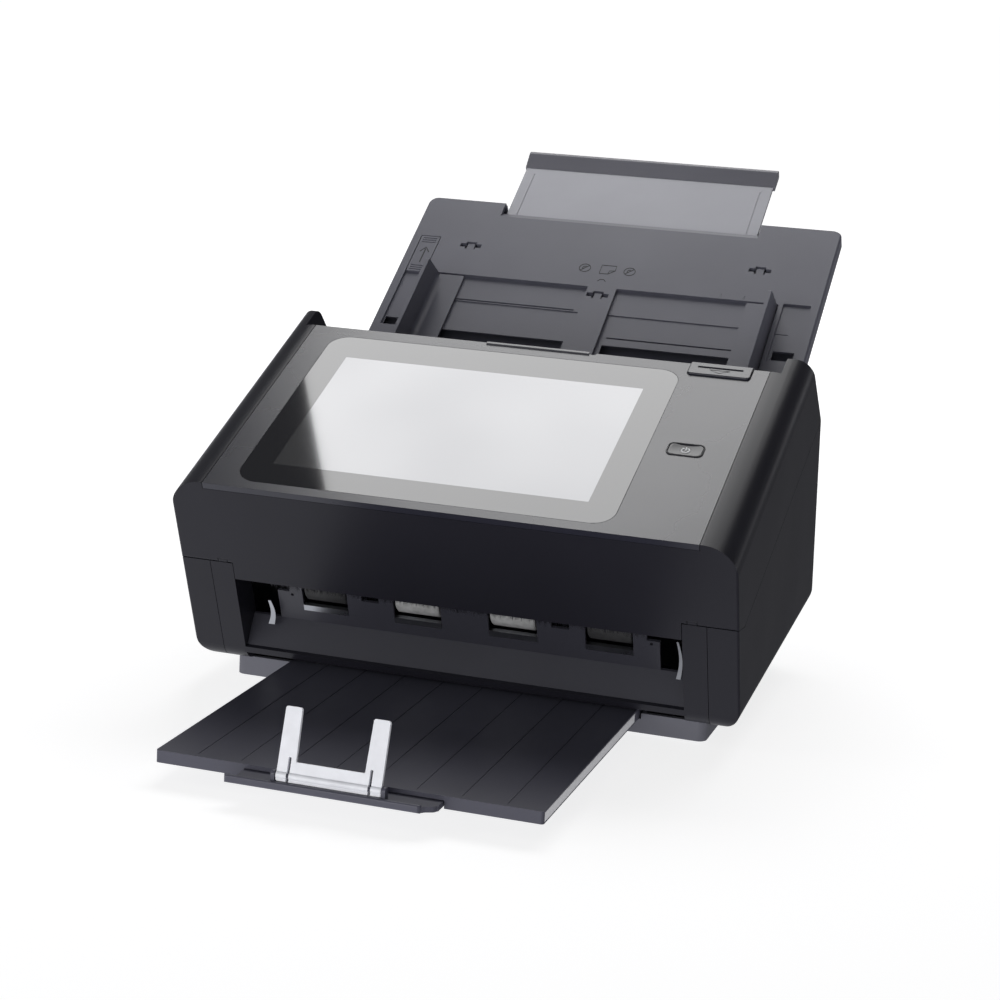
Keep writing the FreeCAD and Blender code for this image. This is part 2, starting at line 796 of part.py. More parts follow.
def window_lips():
    """Bright foil clips along the lower edge of each roller window."""
    clips = []
    for low, high in window_spans():
        clips.append(
            prism(
                [
                    (exit_wall - 0.5, window_bottom - 3.2), (exit_wall - 0.5, window_bottom + 0.4),
                    (exit_wall + 2.2, window_bottom + 0.4), (exit_wall + 2.2, window_bottom + 0.02),
                    (exit_wall - 0.02, window_bottom + 0.02), (exit_wall - 0.02, window_bottom - 3.2),
                ],
                "x", low + 0.2, high - 0.2,
            )
        )
    return Part.makeCompound(clips)


def lower_guide():
    """Flat paper guide from the entrance to the exit, with the shelf beside it at the entrance."""
    sheet = 1.5
    plate = prism(
        [
            (37, guide_level - 1.5), (38.5, guide_level), (184, guide_level), (200, guide_level + 3),
            (200.5, guide_level + 1.6), (184.4, guide_level - sheet), (38, guide_level - 1.5 - sheet),
        ],
        "x", -guide_half, guide_half,
    )
    shelf = box(-shelf_half, shelf_half, 165, 201, guide_level - sheet, guide_level)
    low = guide_level - 3
    high = guide_level + 2
    cuts = [box(-99, 99, lower_scan_y - 15, lower_scan_y + 15, low, high)]
    for x0, x1 in feed_spans():
        cuts.append(box(x0 - 1, x1 + 1, feed_shaft_y - 9, feed_shaft_y + 9, low, high))
    cuts.append(box(-21, 21, pick_y - 10.5, pick_y + 10.5, low, high))
    cuts.append(box(50.5, 54.5, sensor_y - 8, sensor_y + 8, low, high))
    cheeks = [
        box(x0, x1, sensor_y - 3, sensor_y + 3, sensor_z - 3, guide_level - sensor_room)
        for x0, x1 in ((46.5, 49.5), (55.5, 57.5))
    ]
    hangers = [
        box(x0, x1, sensor_y - 3, sensor_y + 3, guide_level - sensor_room - 0.1, guide_level - 0.5)
        for x0, x1 in ((46.5, 49.5), (55.5, 57.5))
    ]
    pin = rod(sensor_pin_radius, "x", 46.5, 57.5, sensor_y, sensor_z)
    return fuse([cut(fuse([plate, shelf]), cuts), pin] + cheeks + hangers)


def side_frame(side):
    """Steel plate that carries the shafts; side is 1 for right, -1 for left."""
    x0, x1 = sorted((side * frame_x, side * (frame_x + frame_thickness)))
    plate = prism(
        [
            (24, -68, 3), (60, -68), (64, -64), (190, -64, 2), (196, -80), (190, -150, 4),
            (60, -126, 4), (24, -106, 3),
        ],
        "x", x0, x1,
    )
    lug, pin_hole = tray_bracket()
    striker = rod(1.5, "x", 118.0, frame_x + 0.5, hook_y + 9.3, -66.6)
    extras = [lug, striker]
    if side > 0:
        extras += board_posts()
    else:
        extras = [mirrored(shape) for shape in extras]
        pin_hole = mirrored(pin_hole)
        extras += gear_posts()
    holes = [pin_hole]
    for y, z in ((exit_shaft_y, exit_shaft_z), (feed_shaft_y, feed_shaft_z), (pick_y, pick_z)):
        holes.append(rod(bearing_radius, "x", x0 - 1, x1 + 1, y, z))
    if side < 0:
        holes.append(rod(motor_boss_radius, "x", x0 - 1, x1 + 1, motor_y, motor_z))
    return cut(fuse([plate] + extras), holes)


def gear_posts():
    """Fixed studs for the two idler gears."""
    return [
        rod(stud_radius, "x", gear_x - 0.6, -frame_x, y, z)
        for y, z in ((idler_y, idler_z), (pick_idler_y, pick_idler_z))
    ]


def board_posts():
    """Posts that hold the main board off the right side frame."""
    return [rod(3.0, "x", board_x + board_sheet, frame_x + 0.5, y, z) for y, z in board_holes]


def bearings():
    """Six plain bushes pressed into the side frames."""
    bushes = []
    for y, z in ((exit_shaft_y, exit_shaft_z), (feed_shaft_y, feed_shaft_z), (pick_y, pick_z)):
        for side in (-1, 1):
            x0, x1 = sorted((side * (frame_x - 2.0), side * (frame_x + frame_thickness + 0.8)))
            bush = rod(bearing_radius, "x", x0, x1, y, z)
            flange_x = sorted((side * (frame_x - 2.0), side * (frame_x - 0.02)))
            flange = rod(bearing_radius + 1.2, "x", flange_x[0], flange_x[1], y, z)
            bore = rod(shaft_radius + running, "x", x0 - 1, x1 + 1, y, z)
            bushes.append(cut(fuse([bush, flange]), [bore]))
    return Part.makeCompound(bushes)


def pulley(y, z):
    x0 = gear_x + gear_width
    x1 = x0 + pulley_width
    rim = pulley_radius + 1.5
    body = rod(pulley_radius, "x", x0, x1, y, z)
    rims = [rod(rim, "x", x0, x0 + 1.4, y, z), rod(rim, "x", x1 - 0.8, x1, y, z)]
    return cut(fuse([body] + rims), [rod(shaft_radius, "x", x0 - 1, x1 + 1, y, z)])


def feed_drive():
    """Feed gear and belt pulley in one moulding."""
    gear = spur_gear(
        feed_teeth, gear_x, gear_x + gear_width, feed_shaft_y, feed_shaft_z, feed_phase, shaft_radius
    )
    return fuse([gear, pulley(feed_shaft_y, feed_shaft_z)])


def drive_belt():
    """Flat loop round the two pulleys, a little clear of them."""
    x0 = gear_x + gear_width + 1.7
    x1 = x0 + 4.8
    dy = feed_shaft_y - exit_shaft_y
    dz = feed_shaft_z - exit_shaft_z
    run = math.hypot(dy, dz)

    def loop(radius):
        ends = [rod(radius, "x", x0, x1, 0, 0), rod(radius, "x", x0, x1, run, 0)]
        return fuse(ends + [box(x0, x1, 0, run, -radius, radius)])

    belt = loop(pulley_radius + 1.3).cut(loop(pulley_radius + 0.25))
    belt = turned(belt, math.degrees(math.atan2(dz, dy)))
    belt.translate(Vec(0, exit_shaft_y, exit_shaft_z))
    return belt


def drive_motor():
    x1 = -frame_x
    can = rod(motor_radius, "x", x1 + 0.1, x1 + motor_length, motor_y, motor_z)
    boss = rod(motor_boss_radius - 0.1, "x", x1 - frame_thickness - 1.0, x1 + 0.2, motor_y, motor_z)
    edges = [e for e in can.Edges if e.Curve.TypeId == "Part::GeomCircle"]
    can = can.makeFillet(1.5, edges)
    bore = rod(2.0 + running, "x", x1 - frame_thickness - 2, x1 + 12, motor_y, motor_z)
    return cut(fuse([can, boss]), [bore])


def motor_pinion():
    phase = meshed_phase(idler_teeth, idler_phase, motor_teeth, motor_direction)
    gear = spur_gear(motor_teeth, gear_x, gear_x + gear_width, motor_y, motor_z, phase, 1.0)
    return fuse([gear, rod(2.0, "x", gear_x, -frame_x + 11.5, motor_y, motor_z)])


def main_board():
    """Circuit board on posts, with its larger components."""
    board = box(board_x, board_x + board_sheet, 70, 176, -132, -84)
    board = cut(board, [rod(1.6, "x", board_x - 1, board_x + 3, y, z) for y, z in board_holes])
    parts = []
    for y, z, length, height, thick in board_parts:
        parts.append(
            box(board_x - thick, board_x, y - length / 2, y + length / 2, z - height / 2, z + height / 2)
        )
    return fuse([board] + parts)


def sensor_lever():
    """Paper sensor flag that pokes up through the lower guide."""
    hub = rod(3.0, "x", 51.2, 53.8, sensor_y, sensor_z)
    flag = prism(
        [
            (sensor_y - 2.5, sensor_z), (sensor_y - 1.0, -59.6, 0.8), (sensor_y + 1.6, -59.6, 0.8),
            (sensor_y + 2.5, sensor_z),
        ],
        "x", 51.2, 53.8,
    )
    tail = box(51.2, 53.8, sensor_y - 1.2, sensor_y + 1.2, sensor_z - 12, sensor_z)
    bore = rod(sensor_pin_radius + running, "x", 50, 55, sensor_y, sensor_z)
    return cut(fuse([hub, flag, tail]), [bore])


# ------------------------------------------------------------------------------ base and output tray
front_foot_y = -math.sin(tilt) * bottom_front
front_foot_z = math.cos(tilt) * bottom_front
underside_slope = math.tan(math.radians(panel_tilt - bottom_slope))


def underside(y):
    """Underside of the lower casing in the base frame."""
    return front_foot_z + underside_slope * (y - front_foot_y)


def pedestal():
    top_gap = 0.2
    outer = prism(
        [
            (pedestal_front, pedestal_bottom), (pedestal_rear, pedestal_bottom),
            (pedestal_rear, underside(pedestal_rear) - top_gap),
            (pedestal_front, underside(pedestal_front) - top_gap),
        ],
        "x", -pedestal_half, pedestal_half,
    )
    plan = pad(-pedestal_half, pedestal_half, pedestal_front, pedestal_rear, -200, 0, 5.0)
    low = pedestal_bottom + 2.2
    hollow = pad(
        -pedestal_half + wall, pedestal_half - wall, pedestal_front + wall, pedestal_rear - wall,
        low, 0, 3.0,
    )
    slot_low = output_top - output_thickness - loose
    slot = box(-output_half - loose - 0.6, output_half + loose + 0.6, 0, 70, slot_low, 0)
    y0, y1 = pedestal_front + 1, pedestal_rear - 1
    rail = box(output_half + 1.2, output_half + 3.2, y0, y1, low - 1, output_top).common(outer)
    body = cut(outer.common(plan), [hollow, slot])
    return fuse([body] + both_sides(rail))


def foot_places():
    return [(x, y) for x in (-118.0, 118.0) for y in (70.0, 220.0)]


def rubber_feet():
    return Part.makeCompound([
        rod(foot_radius, "z", floor_level, pedestal_bottom, x, y) for x, y in foot_places()
    ])


def base_screws():
    """Four screws through the pedestal's floor, heads in its underside."""
    screws = []
    for x in (-95.0, 95.0):
        for y in (66.0, 226.0):
            screws.append(rod(3.0, "z", pedestal_bottom - 0.9, pedestal_bottom, x, y))
    return Part.makeCompound(screws)


def output_tray():
    top = output_top
    low = top - output_thickness
    skin = 2.2
    block = pad(-output_half, output_half, output_front, output_rear, low, top, 1.5)
    border = 3.0
    depth = (low - 1, top - skin)
    y0, y1 = output_front + border, output_rear - border
    pockets = [
        box(-output_half + border, slide_left - 3.4, y0, y1, *depth),
        box(slide_right + 3.4, output_half - border, y0, y1, *depth),
        box(slide_left - loose, slide_right + loose, output_front - 1, output_rear - 20, *depth),
    ]
    ribs = [box(-output_half, output_half, y, y + 1.6, low + 0.4, top - 1) for y in (-40, 30)]
    room = box(slide_left - loose - 0.1, slide_right + loose + 0.1, -400, 400, -200, 0)
    ribs = [rib.cut(room) for rib in ribs]
    y0, y1 = output_front + 4, output_rear - 4
    lines = [box(x - 0.3, x + 0.3, y0, y1, top - 0.25, top + 1) for x in groove_places()]
    return cut(fuse([cut(block, pockets)] + ribs), lines)


def groove_places():
    return [-output_half + 21.0 + 22.5 * k for k in range(8)]


def output_slide():
    top = output_top - 2.2 - 0.3
    low = top - slide_thickness
    plate = box(slide_left, slide_right, -134.0, slide_rear, low, top)
    neck = prism(
        [
            (slide_left, -133), (slide_right, -133), (slide_right - 1.2, -136, 2.5),
            (slide_lip_right + 1.5, -138.0, 2.0), (slide_lip_right, -139.5), (slide_lip_left, -139.5),
            (slide_lip_left, -137.0, 1.5), (slide_left, -136.6, 1.5),
        ],
        "z", low, top,
    )
    lip = prism(
        [
            (slide_lip_front, low, 1.2), (slide_lip_front, slide_lip_top, 1.0),
            (slide_lip_front + 2.4, slide_lip_top, 0.8), (slide_lip_front + 2.4, low),
        ],
        "x", slide_lip_left, slide_lip_right,
    )
    plan = pad(slide_lip_left, slide_lip_right, slide_lip_front, slide_lip_front + 10, -200, 0, 2.0)
    lug_x0 = stop_centre + stop_half + loose
    lug = prism(
        [
            (stop_pin_y - 2.2, top - 0.2), (stop_pin_y - 2.2, stop_pin_z + 2.2, 2.0),
            (stop_pin_y + 2.2, stop_pin_z + 2.2, 2.0), (stop_pin_y + 2.2, top - 0.2),
        ],
        "x", lug_x0, lug_x0 + 2.0,
    )
    other = lug.copy()
    other.translate(Vec(-2 * (stop_half + loose) - 2.0, 0, 0))
    half = stop_half + loose + 1.0
    pin = rod(stop_pin_radius, "x", stop_centre - half, stop_centre + half, stop_pin_y, stop_pin_z)
    return fuse([plate, neck, lip.common(plan), lug, other, pin])


def paper_stop():
    """Fork-shaped stop, upright with a slight lean; drawn flat about its pin, then stood up."""
    outer = stop_half
    inner = stop_half - stop_prong
    outline = [
        (-outer, -stop_foot, 0.8), (outer, -stop_foot, 0.8), (outer - 0.2, stop_height, 1.2),
        (inner, stop_height, 1.2), (inner - 0.7, stop_bar, 0.6), (-inner + 0.7, stop_bar, 0.6),
        (-inner, stop_height, 1.2), (-outer + 0.2, stop_height, 1.2),
    ]
    plate = prism(outline, "y", -stop_thickness / 2, stop_thickness / 2)
    slit = pad(outer - 6.6, outer - 5.2, -stop_foot - 1, stop_bar + 2, -5, 5, 0.6)
    slit = turned(slit, 90)
    bead = rod(stop_pin_radius + 0.9, "x", -outer, outer, 0, 0)
    bore = rod(stop_pin_radius + running, "x", -outer - 1, outer + 1, 0, 0)
    fork = cut(fuse([cut(plate, both_sides(slit)), bead.cut(mirror_gap(outer))]), [bore])
    fork = turned(fork, -stop_lean)
    fork.translate(Vec(stop_centre, stop_pin_y, stop_pin_z))
    return fork


def mirror_gap(outer):
    gap = box(outer - 6.6, outer - 5.2, -5, 5, -5, 5)
    return fuse(both_sides(gap))


# ------------------------------------------------------------------------------ input tray
def tray_plan(inset, low, high):
    """The input tray's outline, narrower beside its hinge."""
    half = tray_half - inset
    neck = neck_half - inset
    return prism(
        [
            (-neck, -tray_length + inset, 3), (neck, -tray_length + inset, 3), (neck, -154 + inset),
            (half, -150 + inset), (half, -inset, 6 - inset), (-half, -inset, 6 - inset),
            (-half, -150 + inset), (-neck, -154 + inset),
        ],
        "z", low, high,
    )


def tray_front():
    plate = tray_plan(0, -tray_face, 0)
    edges = [
        e for e in plate.Edges
        if abs(e.BoundBox.ZMin) < 1e-6 and abs(e.BoundBox.ZMax) < 1e-6
    ]
    plate = plate.makeChamfer(1.0, edges)
    bed = box(-recess_half - 2, recess_half + 2, -tray_length + 6, recess_start + 3, -3.5, -1.0)
    shape = fuse([plate, bed])
    cuts = []
    for x0, x1 in ((-recess_half, strip_left), (strip_right, recess_half)):
        cuts.append(pad(x0, x1, -160, recess_start, -recess_depth, 1, 1.0))
        cuts.append(box(x0, x1, -190, -150, -recess_depth, 1))
        cuts.append(box(x0 + 0.01, x1 - 0.01, -190, -96.5, -recess_depth - 0.5, 1))
    for x0, x1 in ((-106.0, strip_left - 3), (strip_right + 3, 106.0)):
        cuts.append(box(x0, x1, -151, -123.5, -5, 1))
    cuts.append(box(-guide_stem[1] - 0.6, strip_left - 4, *stem_slots[0], -5, 1))
    cuts.append(box(strip_right + 4, guide_stem[1] + 0.6, *stem_slots[1], -5, 1))
    cuts.append(
        prism(
            [
                (2, 1), (2, -4), (-8.6, -4), (-8.6, -tray_face - 0.1), (-notch_depth, 0.01),
                (-notch_depth, 1),
            ],
            "x", -notch_half, notch_half,
        )
    )
    for x, t in clip_places:
        cuts.append(box(x - 7, x + 7, t - 1.7, t + 1.7, -5, 1))
        cuts.append(box(x - 3.4, x + 3.4, t - 3.4, t + 3.4, -5, 1))
    half = mode_width / 2 + 0.5
    cuts.append(box(mode_x - half, mode_x + half, mode_pocket_end, -39.6, -mode_pocket_depth, 1))
    cuts.append(box(mode_x - half + 1, mode_x + half - 1, -126, -118, -5, 1))
    cuts.append(box(114.0, 131.0, -125, -73, -1.2, 1))
    cuts.append(box(116.0, 129.0, -123, -115, -5, 1))
    cuts.append(box(114.0, 122.0, -100.4, -99.8, -1.5, 1))
    for x in size_marks:
        cuts.append(box(x - 0.25, x + 0.25, recess_start + 1.2, recess_start + 4.2, -0.25, 1))
    cuts += both_sides(rod(tray_pin_radius + running, "x", 117, 200, tray_hinge_t, tray_hinge_n))
    return cut(shape, cuts)


def tray_back():
    outer = tray_plan(0, -tray_depth, -tray_face - 0.05)
    edges = [
        e for e in outer.Edges
        if abs(e.BoundBox.ZMin + tray_depth) < 1e-6 and abs(e.BoundBox.ZMax + tray_depth) < 1e-6
    ]
    outer = outer.makeChamfer(1.6, edges)
    inner = tray_plan(2.0, -tray_depth + 2.4, 5)
    bed = box(-recess_half - 2.4, recess_half + 2.4, -tray_length - 1, -tray_length + 6.4, -3.6, 5)
    shape = cut(outer, [inner])
    lip_bottom = extension_level - extension_thickness - grip_overhang
    half = extension_half + 1.0 + loose
    mouth = box(-half, half, -10, 5, lip_bottom - loose, 5)
    post = rod(pinion_post_radius, "z", -tray_depth + 1, -3.8, 0, pinion_t)
    boss = rod(4.6, "x", 118.0, neck_half, tray_hinge_t, tray_hinge_n)
    boss = boss.common(box(0, 200, -300, 5, -tray_depth, -tray_face - 1.2))
    pin = rod(tray_pin_radius, "x", 119.0, bracket_outer + 0.4, tray_hinge_t, tray_hinge_n)
    shape = cut(shape, [mouth, bed])
    return fuse([shape, post] + both_sides(boss) + both_sides(pin) + snap_clips())


def tray_bracket():
    """Right lug that carries the input tray's pin, and its pin hole. Panel frame."""
    centre_y, centre_z = hinge_in_panel()
    lug = prism(
        [
            (centre_y - 5, centre_z - 2), (centre_y - 5, centre_z + 5, 4.9),
            (centre_y + 5, centre_z + 5, 4.9), (centre_y + 5, centre_z - 3), (200, -85), (184, -110),
            (184, -92),
        ],
        "x", bracket_inner, bracket_outer,
    )
    foot = box(frame_x + 0.5, bracket_inner + 0.5, 184, 189, -108, -92)
    hole = rod(tray_pin_radius + running, "x", frame_x + 2, 200, centre_y, centre_z)
    return fuse([lug, foot]), hole


def hinge_in_panel():
    """The input tray's hinge, given in the panel frame."""
    angle = math.radians(tray_angle)
    y = tray_top_y + tray_hinge_t * math.cos(angle) - tray_hinge_n * math.sin(angle)
    z = tray_top_z + tray_hinge_t * math.sin(angle) + tray_hinge_n * math.cos(angle)
    return y * math.cos(tilt) + z * math.sin(tilt), -y * math.sin(tilt) + z * math.cos(tilt)


def snap_clips():
    """The three catches that show in the cross-shaped windows, on stalks from the back shell."""
    hooks = []
    for x, t in clip_places:
        hooks.append(pad(x - 2.4, x + 2.4, t - 2.6, t + 2.2, -2.3, -0.7, 0.5))
        hooks.append(box(x - 1.6, x + 1.6, t - 0.6, t + 0.4, -tray_depth + 2.3, -2.2))
    return hooks


def mode_slider():
    half = mode_width / 2
    body = pad(mode_x - half, mode_x + half, -40.2 - mode_length, -40.2, -1.4, -0.1, 0.8)
    grips = []
    x0, x1 = mode_x - half + 1.5, mode_x + half - 1.5
    for start in (-42.4, -41.6 - mode_length + 6.6):
        for k in range(3):
            t = start - 2.0 * k
            grips.append(box(x0, x1, t, t + 0.8, -0.5, 1))
    return cut(body, grips)


def side_guide():
    """Left side guide: base plate, upright fin with a sloped end, and the stem down to its rack."""
    level = -recess_depth + 0.3
    top = level + 1.5
    outer = -guide_outer
    base = pad(outer, outer + guide_base, guide_base_end, recess_start - 1.3, level, top, 1.0)
    fin = prism(
        [
            (recess_start - 1.3, level), (recess_start - 1.3, top + 0.5),
            (recess_start - 12, guide_height, 1.5), (guide_fin_end, guide_height, 3),
            (guide_fin_end, level),
        ],
        "x", outer, outer + guide_fin,
    )
    radius = 4.0
    x1, z1 = outer + guide_fin + radius, top + radius
    web = box(outer + 0.5, x1, guide_base_end, recess_start - 6, level + 0.5, z1)
    web = web.cut(rod(radius, "y", -200, 0, x1, z1))
    return fuse([base, fin, web])


def guide_with_rack(side):
    """Side guide, its stem through the tray's slot and its rack; side is -1 for left, 1 for right."""
    x0, x1 = sorted((side * guide_stem[0], side * guide_stem[1]))
    low, high = stem_slots[0 if side < 0 else 1]
    stem = box(x0, x1, low + rack_gap, high - rack_gap, rack_level + 0.5, -recess_depth + 0.6)
    plate = side_guide() if side < 0 else mirrored(side_guide())
    return fuse([plate, stem, rack(-side)])


def rack(side):
    """Toothed bar under a guide; side 1 lies above the pinion on the tray, -1 below it."""
    pitch = math.pi * gear_module
    line = pinion_t + side * pinion_radius
    x0 = -106.0 if side > 0 else -19.0
    x1 = 19.0 if side > 0 else 106.0
    back = line + side * (1.2 + rack_depth - rack_gap)
    root = line + side * 1.15 * gear_module
    tip = line - side * 0.9 * gear_module
    y0, y1 = sorted((root, back))
    bar = box(x0, x1, y0, y1, rack_level, rack_level + rack_thickness)
    tan20 = math.tan(math.radians(20))
    half = pitch / 4 - 0.08
    count = int((x1 - x0) / pitch / 2) + 1
    teeth = []
    for k in range(-count * 2, count * 2 + 1):
        x = k * pitch
        if x - pitch / 2 < x0 or x + pitch / 2 > x1:
            continue
        at_root = half + 1.15 * gear_module * tan20
        at_tip = half - 0.9 * gear_module * tan20
        corners = [
            (x - at_root, root + side * 0.1), (x - at_root, root), (x - at_tip, tip),
            (x + at_tip, tip), (x + at_root, root), (x + at_root, root + side * 0.1),
        ]
        teeth.append(prism(corners, "z", rack_level, rack_level + rack_thickness))
    return fuse([bar] + teeth)


def guide_pinion():
    phase = 90 + 180 / pinion_teeth
    points = [(a, b + pinion_t) for a, b in gear_outline(pinion_teeth, gear_module, phase)]
    low = rack_level
    wheel = prism(points, "z", low, low + rack_thickness)
    return cut(wheel, [rod(pinion_post_radius + running, "z", low - 1, low + 5, 0, pinion_t)])


def tray_extension():
    top = extension_level
    low = top - extension_thickness
    plate = pad(-extension_half, extension_half, -extension_inside, extension_out + 3, low, top, 1.0)
    grooves = [
        pad(x - 0.4, x + 0.4, -8, extension_out - 6, top - 0.35, top + 1, 0.35)
        for x in (-extension_half + 7, extension_half - 7)
    ]
    return cut(plate, grooves)


def extension_grip():
    """The dark rolled lip along the extension's far edge."""
    top = extension_level
    low = top - extension_thickness
    start = extension_out
    end = start + extension_lip
    profile = [
        (start, low - grip_overhang, 0.8), (start, top + 0.4, 0.5), (start + 5, top + 1.6, 6),
        (end - 3, top + 3.4, 3.0), (end, top + 2.2, 1.5), (end, low - grip_overhang, 2.0),
    ]
    bar = prism(profile, "x", -extension_half - 1.0, extension_half + 1.0)
    half = extension_half + 0.02
    return bar.cut(box(-half, half, start - 5, start + 3.02, low - 0.02, top + 0.02))


# ------------------------------------------------------------------------------ assembly
def in_panel(shape):
    return turned(shape, panel_tilt)


def in_tray(shape):
    copy = turned(shape, tray_angle)
    copy.translate(Vec(0, tray_top_y, tray_top_z))
    return copy


def build_nodes():
    ring = casing_ring()
    right_cover = side_cover(ring)
    exit_spans = roller_spans()
    light = [s for s in exit_spans if abs(s[0] + s[1]) < 80]
    dark = [s for s in exit_spans if abs(s[0] + s[1]) > 80]
    upper = {
        "cover_shell": cover_shell(),
        "control_panel": control_panel(),
        "touch_glass": glass_outline(0, -glass_thickness, -0.02),
        "display_module": display_outline(
            3.0, -panel_thickness - display_thickness, -panel_thickness - 0.05
        ),
        "panel_board": box(-96, 96, 34, 128, -12.6, -11.0),
        "power_button": power_button(),
        "release_latch": release_latch(),
        "upper_frame": upper_frame(),
        "upper_guide": upper_guide(),
        "upper_scan_module": scan_module(upper_scan_y, -54.6, -34.0, -57.6, -56.0),
        "exit_pinch_rollers": pinch_rollers(exit_spans, exit_shaft_y, exit_pinch_z),
        "feed_pinch_rollers": pinch_rollers(feed_spans(), feed_shaft_y, feed_pinch_z),
        "latch_hooks": latch_hooks(),
        "antistatic_brush": brush_fringe(),
    }
    gears = (gear_x, gear_x + gear_width)
    lower = {
        "side_cover_right": right_cover,
        "side_cover_left": mirrored(right_cover),
        "front_frame": front_frame(ring),
        "bottom_cover": bottom_cover(ring),
        "rear_cover": rear_cover(ring),
        "hinge_pins": hinge_pins(),
        "exit_guide": exit_guide(),
        "window_lips": window_lips(),
        "lower_guide": lower_guide(),
        "lower_scan_module": scan_module(
            lower_scan_y, -86.0, -65.4, guide_level - 1.6, guide_level - 0.1
        ),
        "side_frame_left": side_frame(-1),
        "side_frame_right": side_frame(1),
        "bearings": bearings(),
        "exit_shaft": shaft(exit_shaft_y, exit_shaft_z, -141.5, 134.5),
        "exit_rollers": rollers(light, exit_roller_radius, exit_shaft_y, exit_shaft_z),
        "exit_rollers_outer": rollers(dark, exit_roller_radius, exit_shaft_y, exit_shaft_z),
        "exit_pulley": pulley(exit_shaft_y, exit_shaft_z),
        "feed_shaft": shaft(feed_shaft_y, feed_shaft_z, gear_x - 1.5, 134.5),
        "feed_rollers": rollers(feed_spans(), feed_roller_radius, feed_shaft_y, feed_shaft_z),
        "feed_gear": feed_drive(),
        "pick_shaft": shaft(pick_y, pick_z, gear_x - 1.5, 134.5),
        "pick_roller": rollers([(-20, 20)], pick_roller_radius, pick_y, pick_z),
        "pick_gear": spur_gear(feed_teeth, *gears, pick_y, pick_z, pick_phase, shaft_radius),
        "pick_idler": spur_gear(
            pick_idler_teeth, *gears, pick_idler_y, pick_idler_z, pick_idler_phase,
            stud_radius + running,
        ),
        "idler_gear": spur_gear(
            idler_teeth, *gears, idler_y, idler_z, idler_phase, stud_radius + running
        ),
        "drive_motor": drive_motor(),
        "motor_pinion": motor_pinion(),
        "drive_belt": drive_belt(),
        "main_board": main_board(),
        "dc_inlet": dc_inlet(),
        "data_ports": data_ports(),
        "sensor_lever": sensor_lever(),
    }
    base = {
        "pedestal": pedestal(),
        "rubber_feet": rubber_feet(),
        "output_tray": output_tray(),
        "output_slide": output_slide(),
        "paper_stop": paper_stop(),
        "base_screws": base_screws(),
    }
    tray = {
        "tray_front": tray_front(),
        "tray_back": tray_back(),
        "mode_slider": mode_slider(),
        "guide_left": guide_with_rack(-1),
        "guide_right": guide_with_rack(1),
        "guide_pinion": guide_pinion(),
        "tray_extension": tray_extension(),
        "extension_grip": extension_grip(),
    }
    nodes = {}
    for name, shape in list(upper.items()) + list(lower.items()):
        nodes[name] = in_panel(shape)
    nodes.update(base)
    for name, shape in tray.items():
        nodes[name] = in_tray(shape)
    return nodes


nodes = build_nodes()
whole = Part.makeCompound(list(nodes.values())).BoundBox
origin = Vec((whole.XMin + whole.XMax) / 2, (whole.YMin + whole.YMax) / 2, whole.ZMin)
os.makedirs("parts", exist_ok=True)
for name, shape in nodes.items():
    shape.translate(-origin)
    shape.exportStep(os.path.join("parts", name + ".step"))
print(len(nodes), "nodes; origin", origin, "size", whole.XLength, whole.YLength, whole.ZLength)
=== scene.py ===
import json
import math
import random

import bmesh
import bpy
from mathutils import Matrix, Vector


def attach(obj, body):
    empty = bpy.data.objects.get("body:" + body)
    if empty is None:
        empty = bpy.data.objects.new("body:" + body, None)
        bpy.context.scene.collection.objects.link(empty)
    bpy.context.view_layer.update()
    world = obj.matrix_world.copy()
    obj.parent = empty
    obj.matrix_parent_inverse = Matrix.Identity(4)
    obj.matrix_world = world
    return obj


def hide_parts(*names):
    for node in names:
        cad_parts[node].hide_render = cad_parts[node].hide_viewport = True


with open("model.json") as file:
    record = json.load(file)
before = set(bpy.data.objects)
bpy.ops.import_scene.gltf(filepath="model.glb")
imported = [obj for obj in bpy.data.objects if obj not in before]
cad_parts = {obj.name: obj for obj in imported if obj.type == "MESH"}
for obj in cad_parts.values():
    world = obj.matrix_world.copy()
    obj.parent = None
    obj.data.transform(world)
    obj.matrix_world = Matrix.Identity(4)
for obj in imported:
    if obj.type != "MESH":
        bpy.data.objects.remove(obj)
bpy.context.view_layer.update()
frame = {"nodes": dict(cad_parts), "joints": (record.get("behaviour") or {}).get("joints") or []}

random.seed(7)
MM = 0.001
scene = bpy.context.scene
nodes = frame["nodes"]
joints = {joint["name"]: joint for joint in frame["joints"]}

# ------------------------------------------------------------------------------ working frames
# The panel frame's zero is the middle of the control panel's front edge, and the tray frame's is the
# middle of the input tray's top edge. In both, y runs up the sheet and z stands off it. Places on them
# are given in millimetres and multiplied by MM.
PANEL_TILT = math.radians(23.0)
TRAY_TILT = math.radians(34.6)
HINGE_IN_TRAY = Vector((0, -172.0, -4.0)) * MM
HINGE_IN_PANEL = Vector((0, 2.0, -50.0)) * MM


def frame_at(joint, tilt, place):
    """Working frame whose point `place` is the joint's own point."""
    turn = Matrix.Rotation(tilt, 4, "X")
    centre = Vector(joints[joint]["pos_m"])
    return Matrix.Translation(centre) @ turn @ Matrix.Translation(-place)


PANEL = frame_at("cover_hinge", PANEL_TILT, HINGE_IN_PANEL)
TRAY = frame_at("tray_fold", TRAY_TILT, HINGE_IN_TRAY)


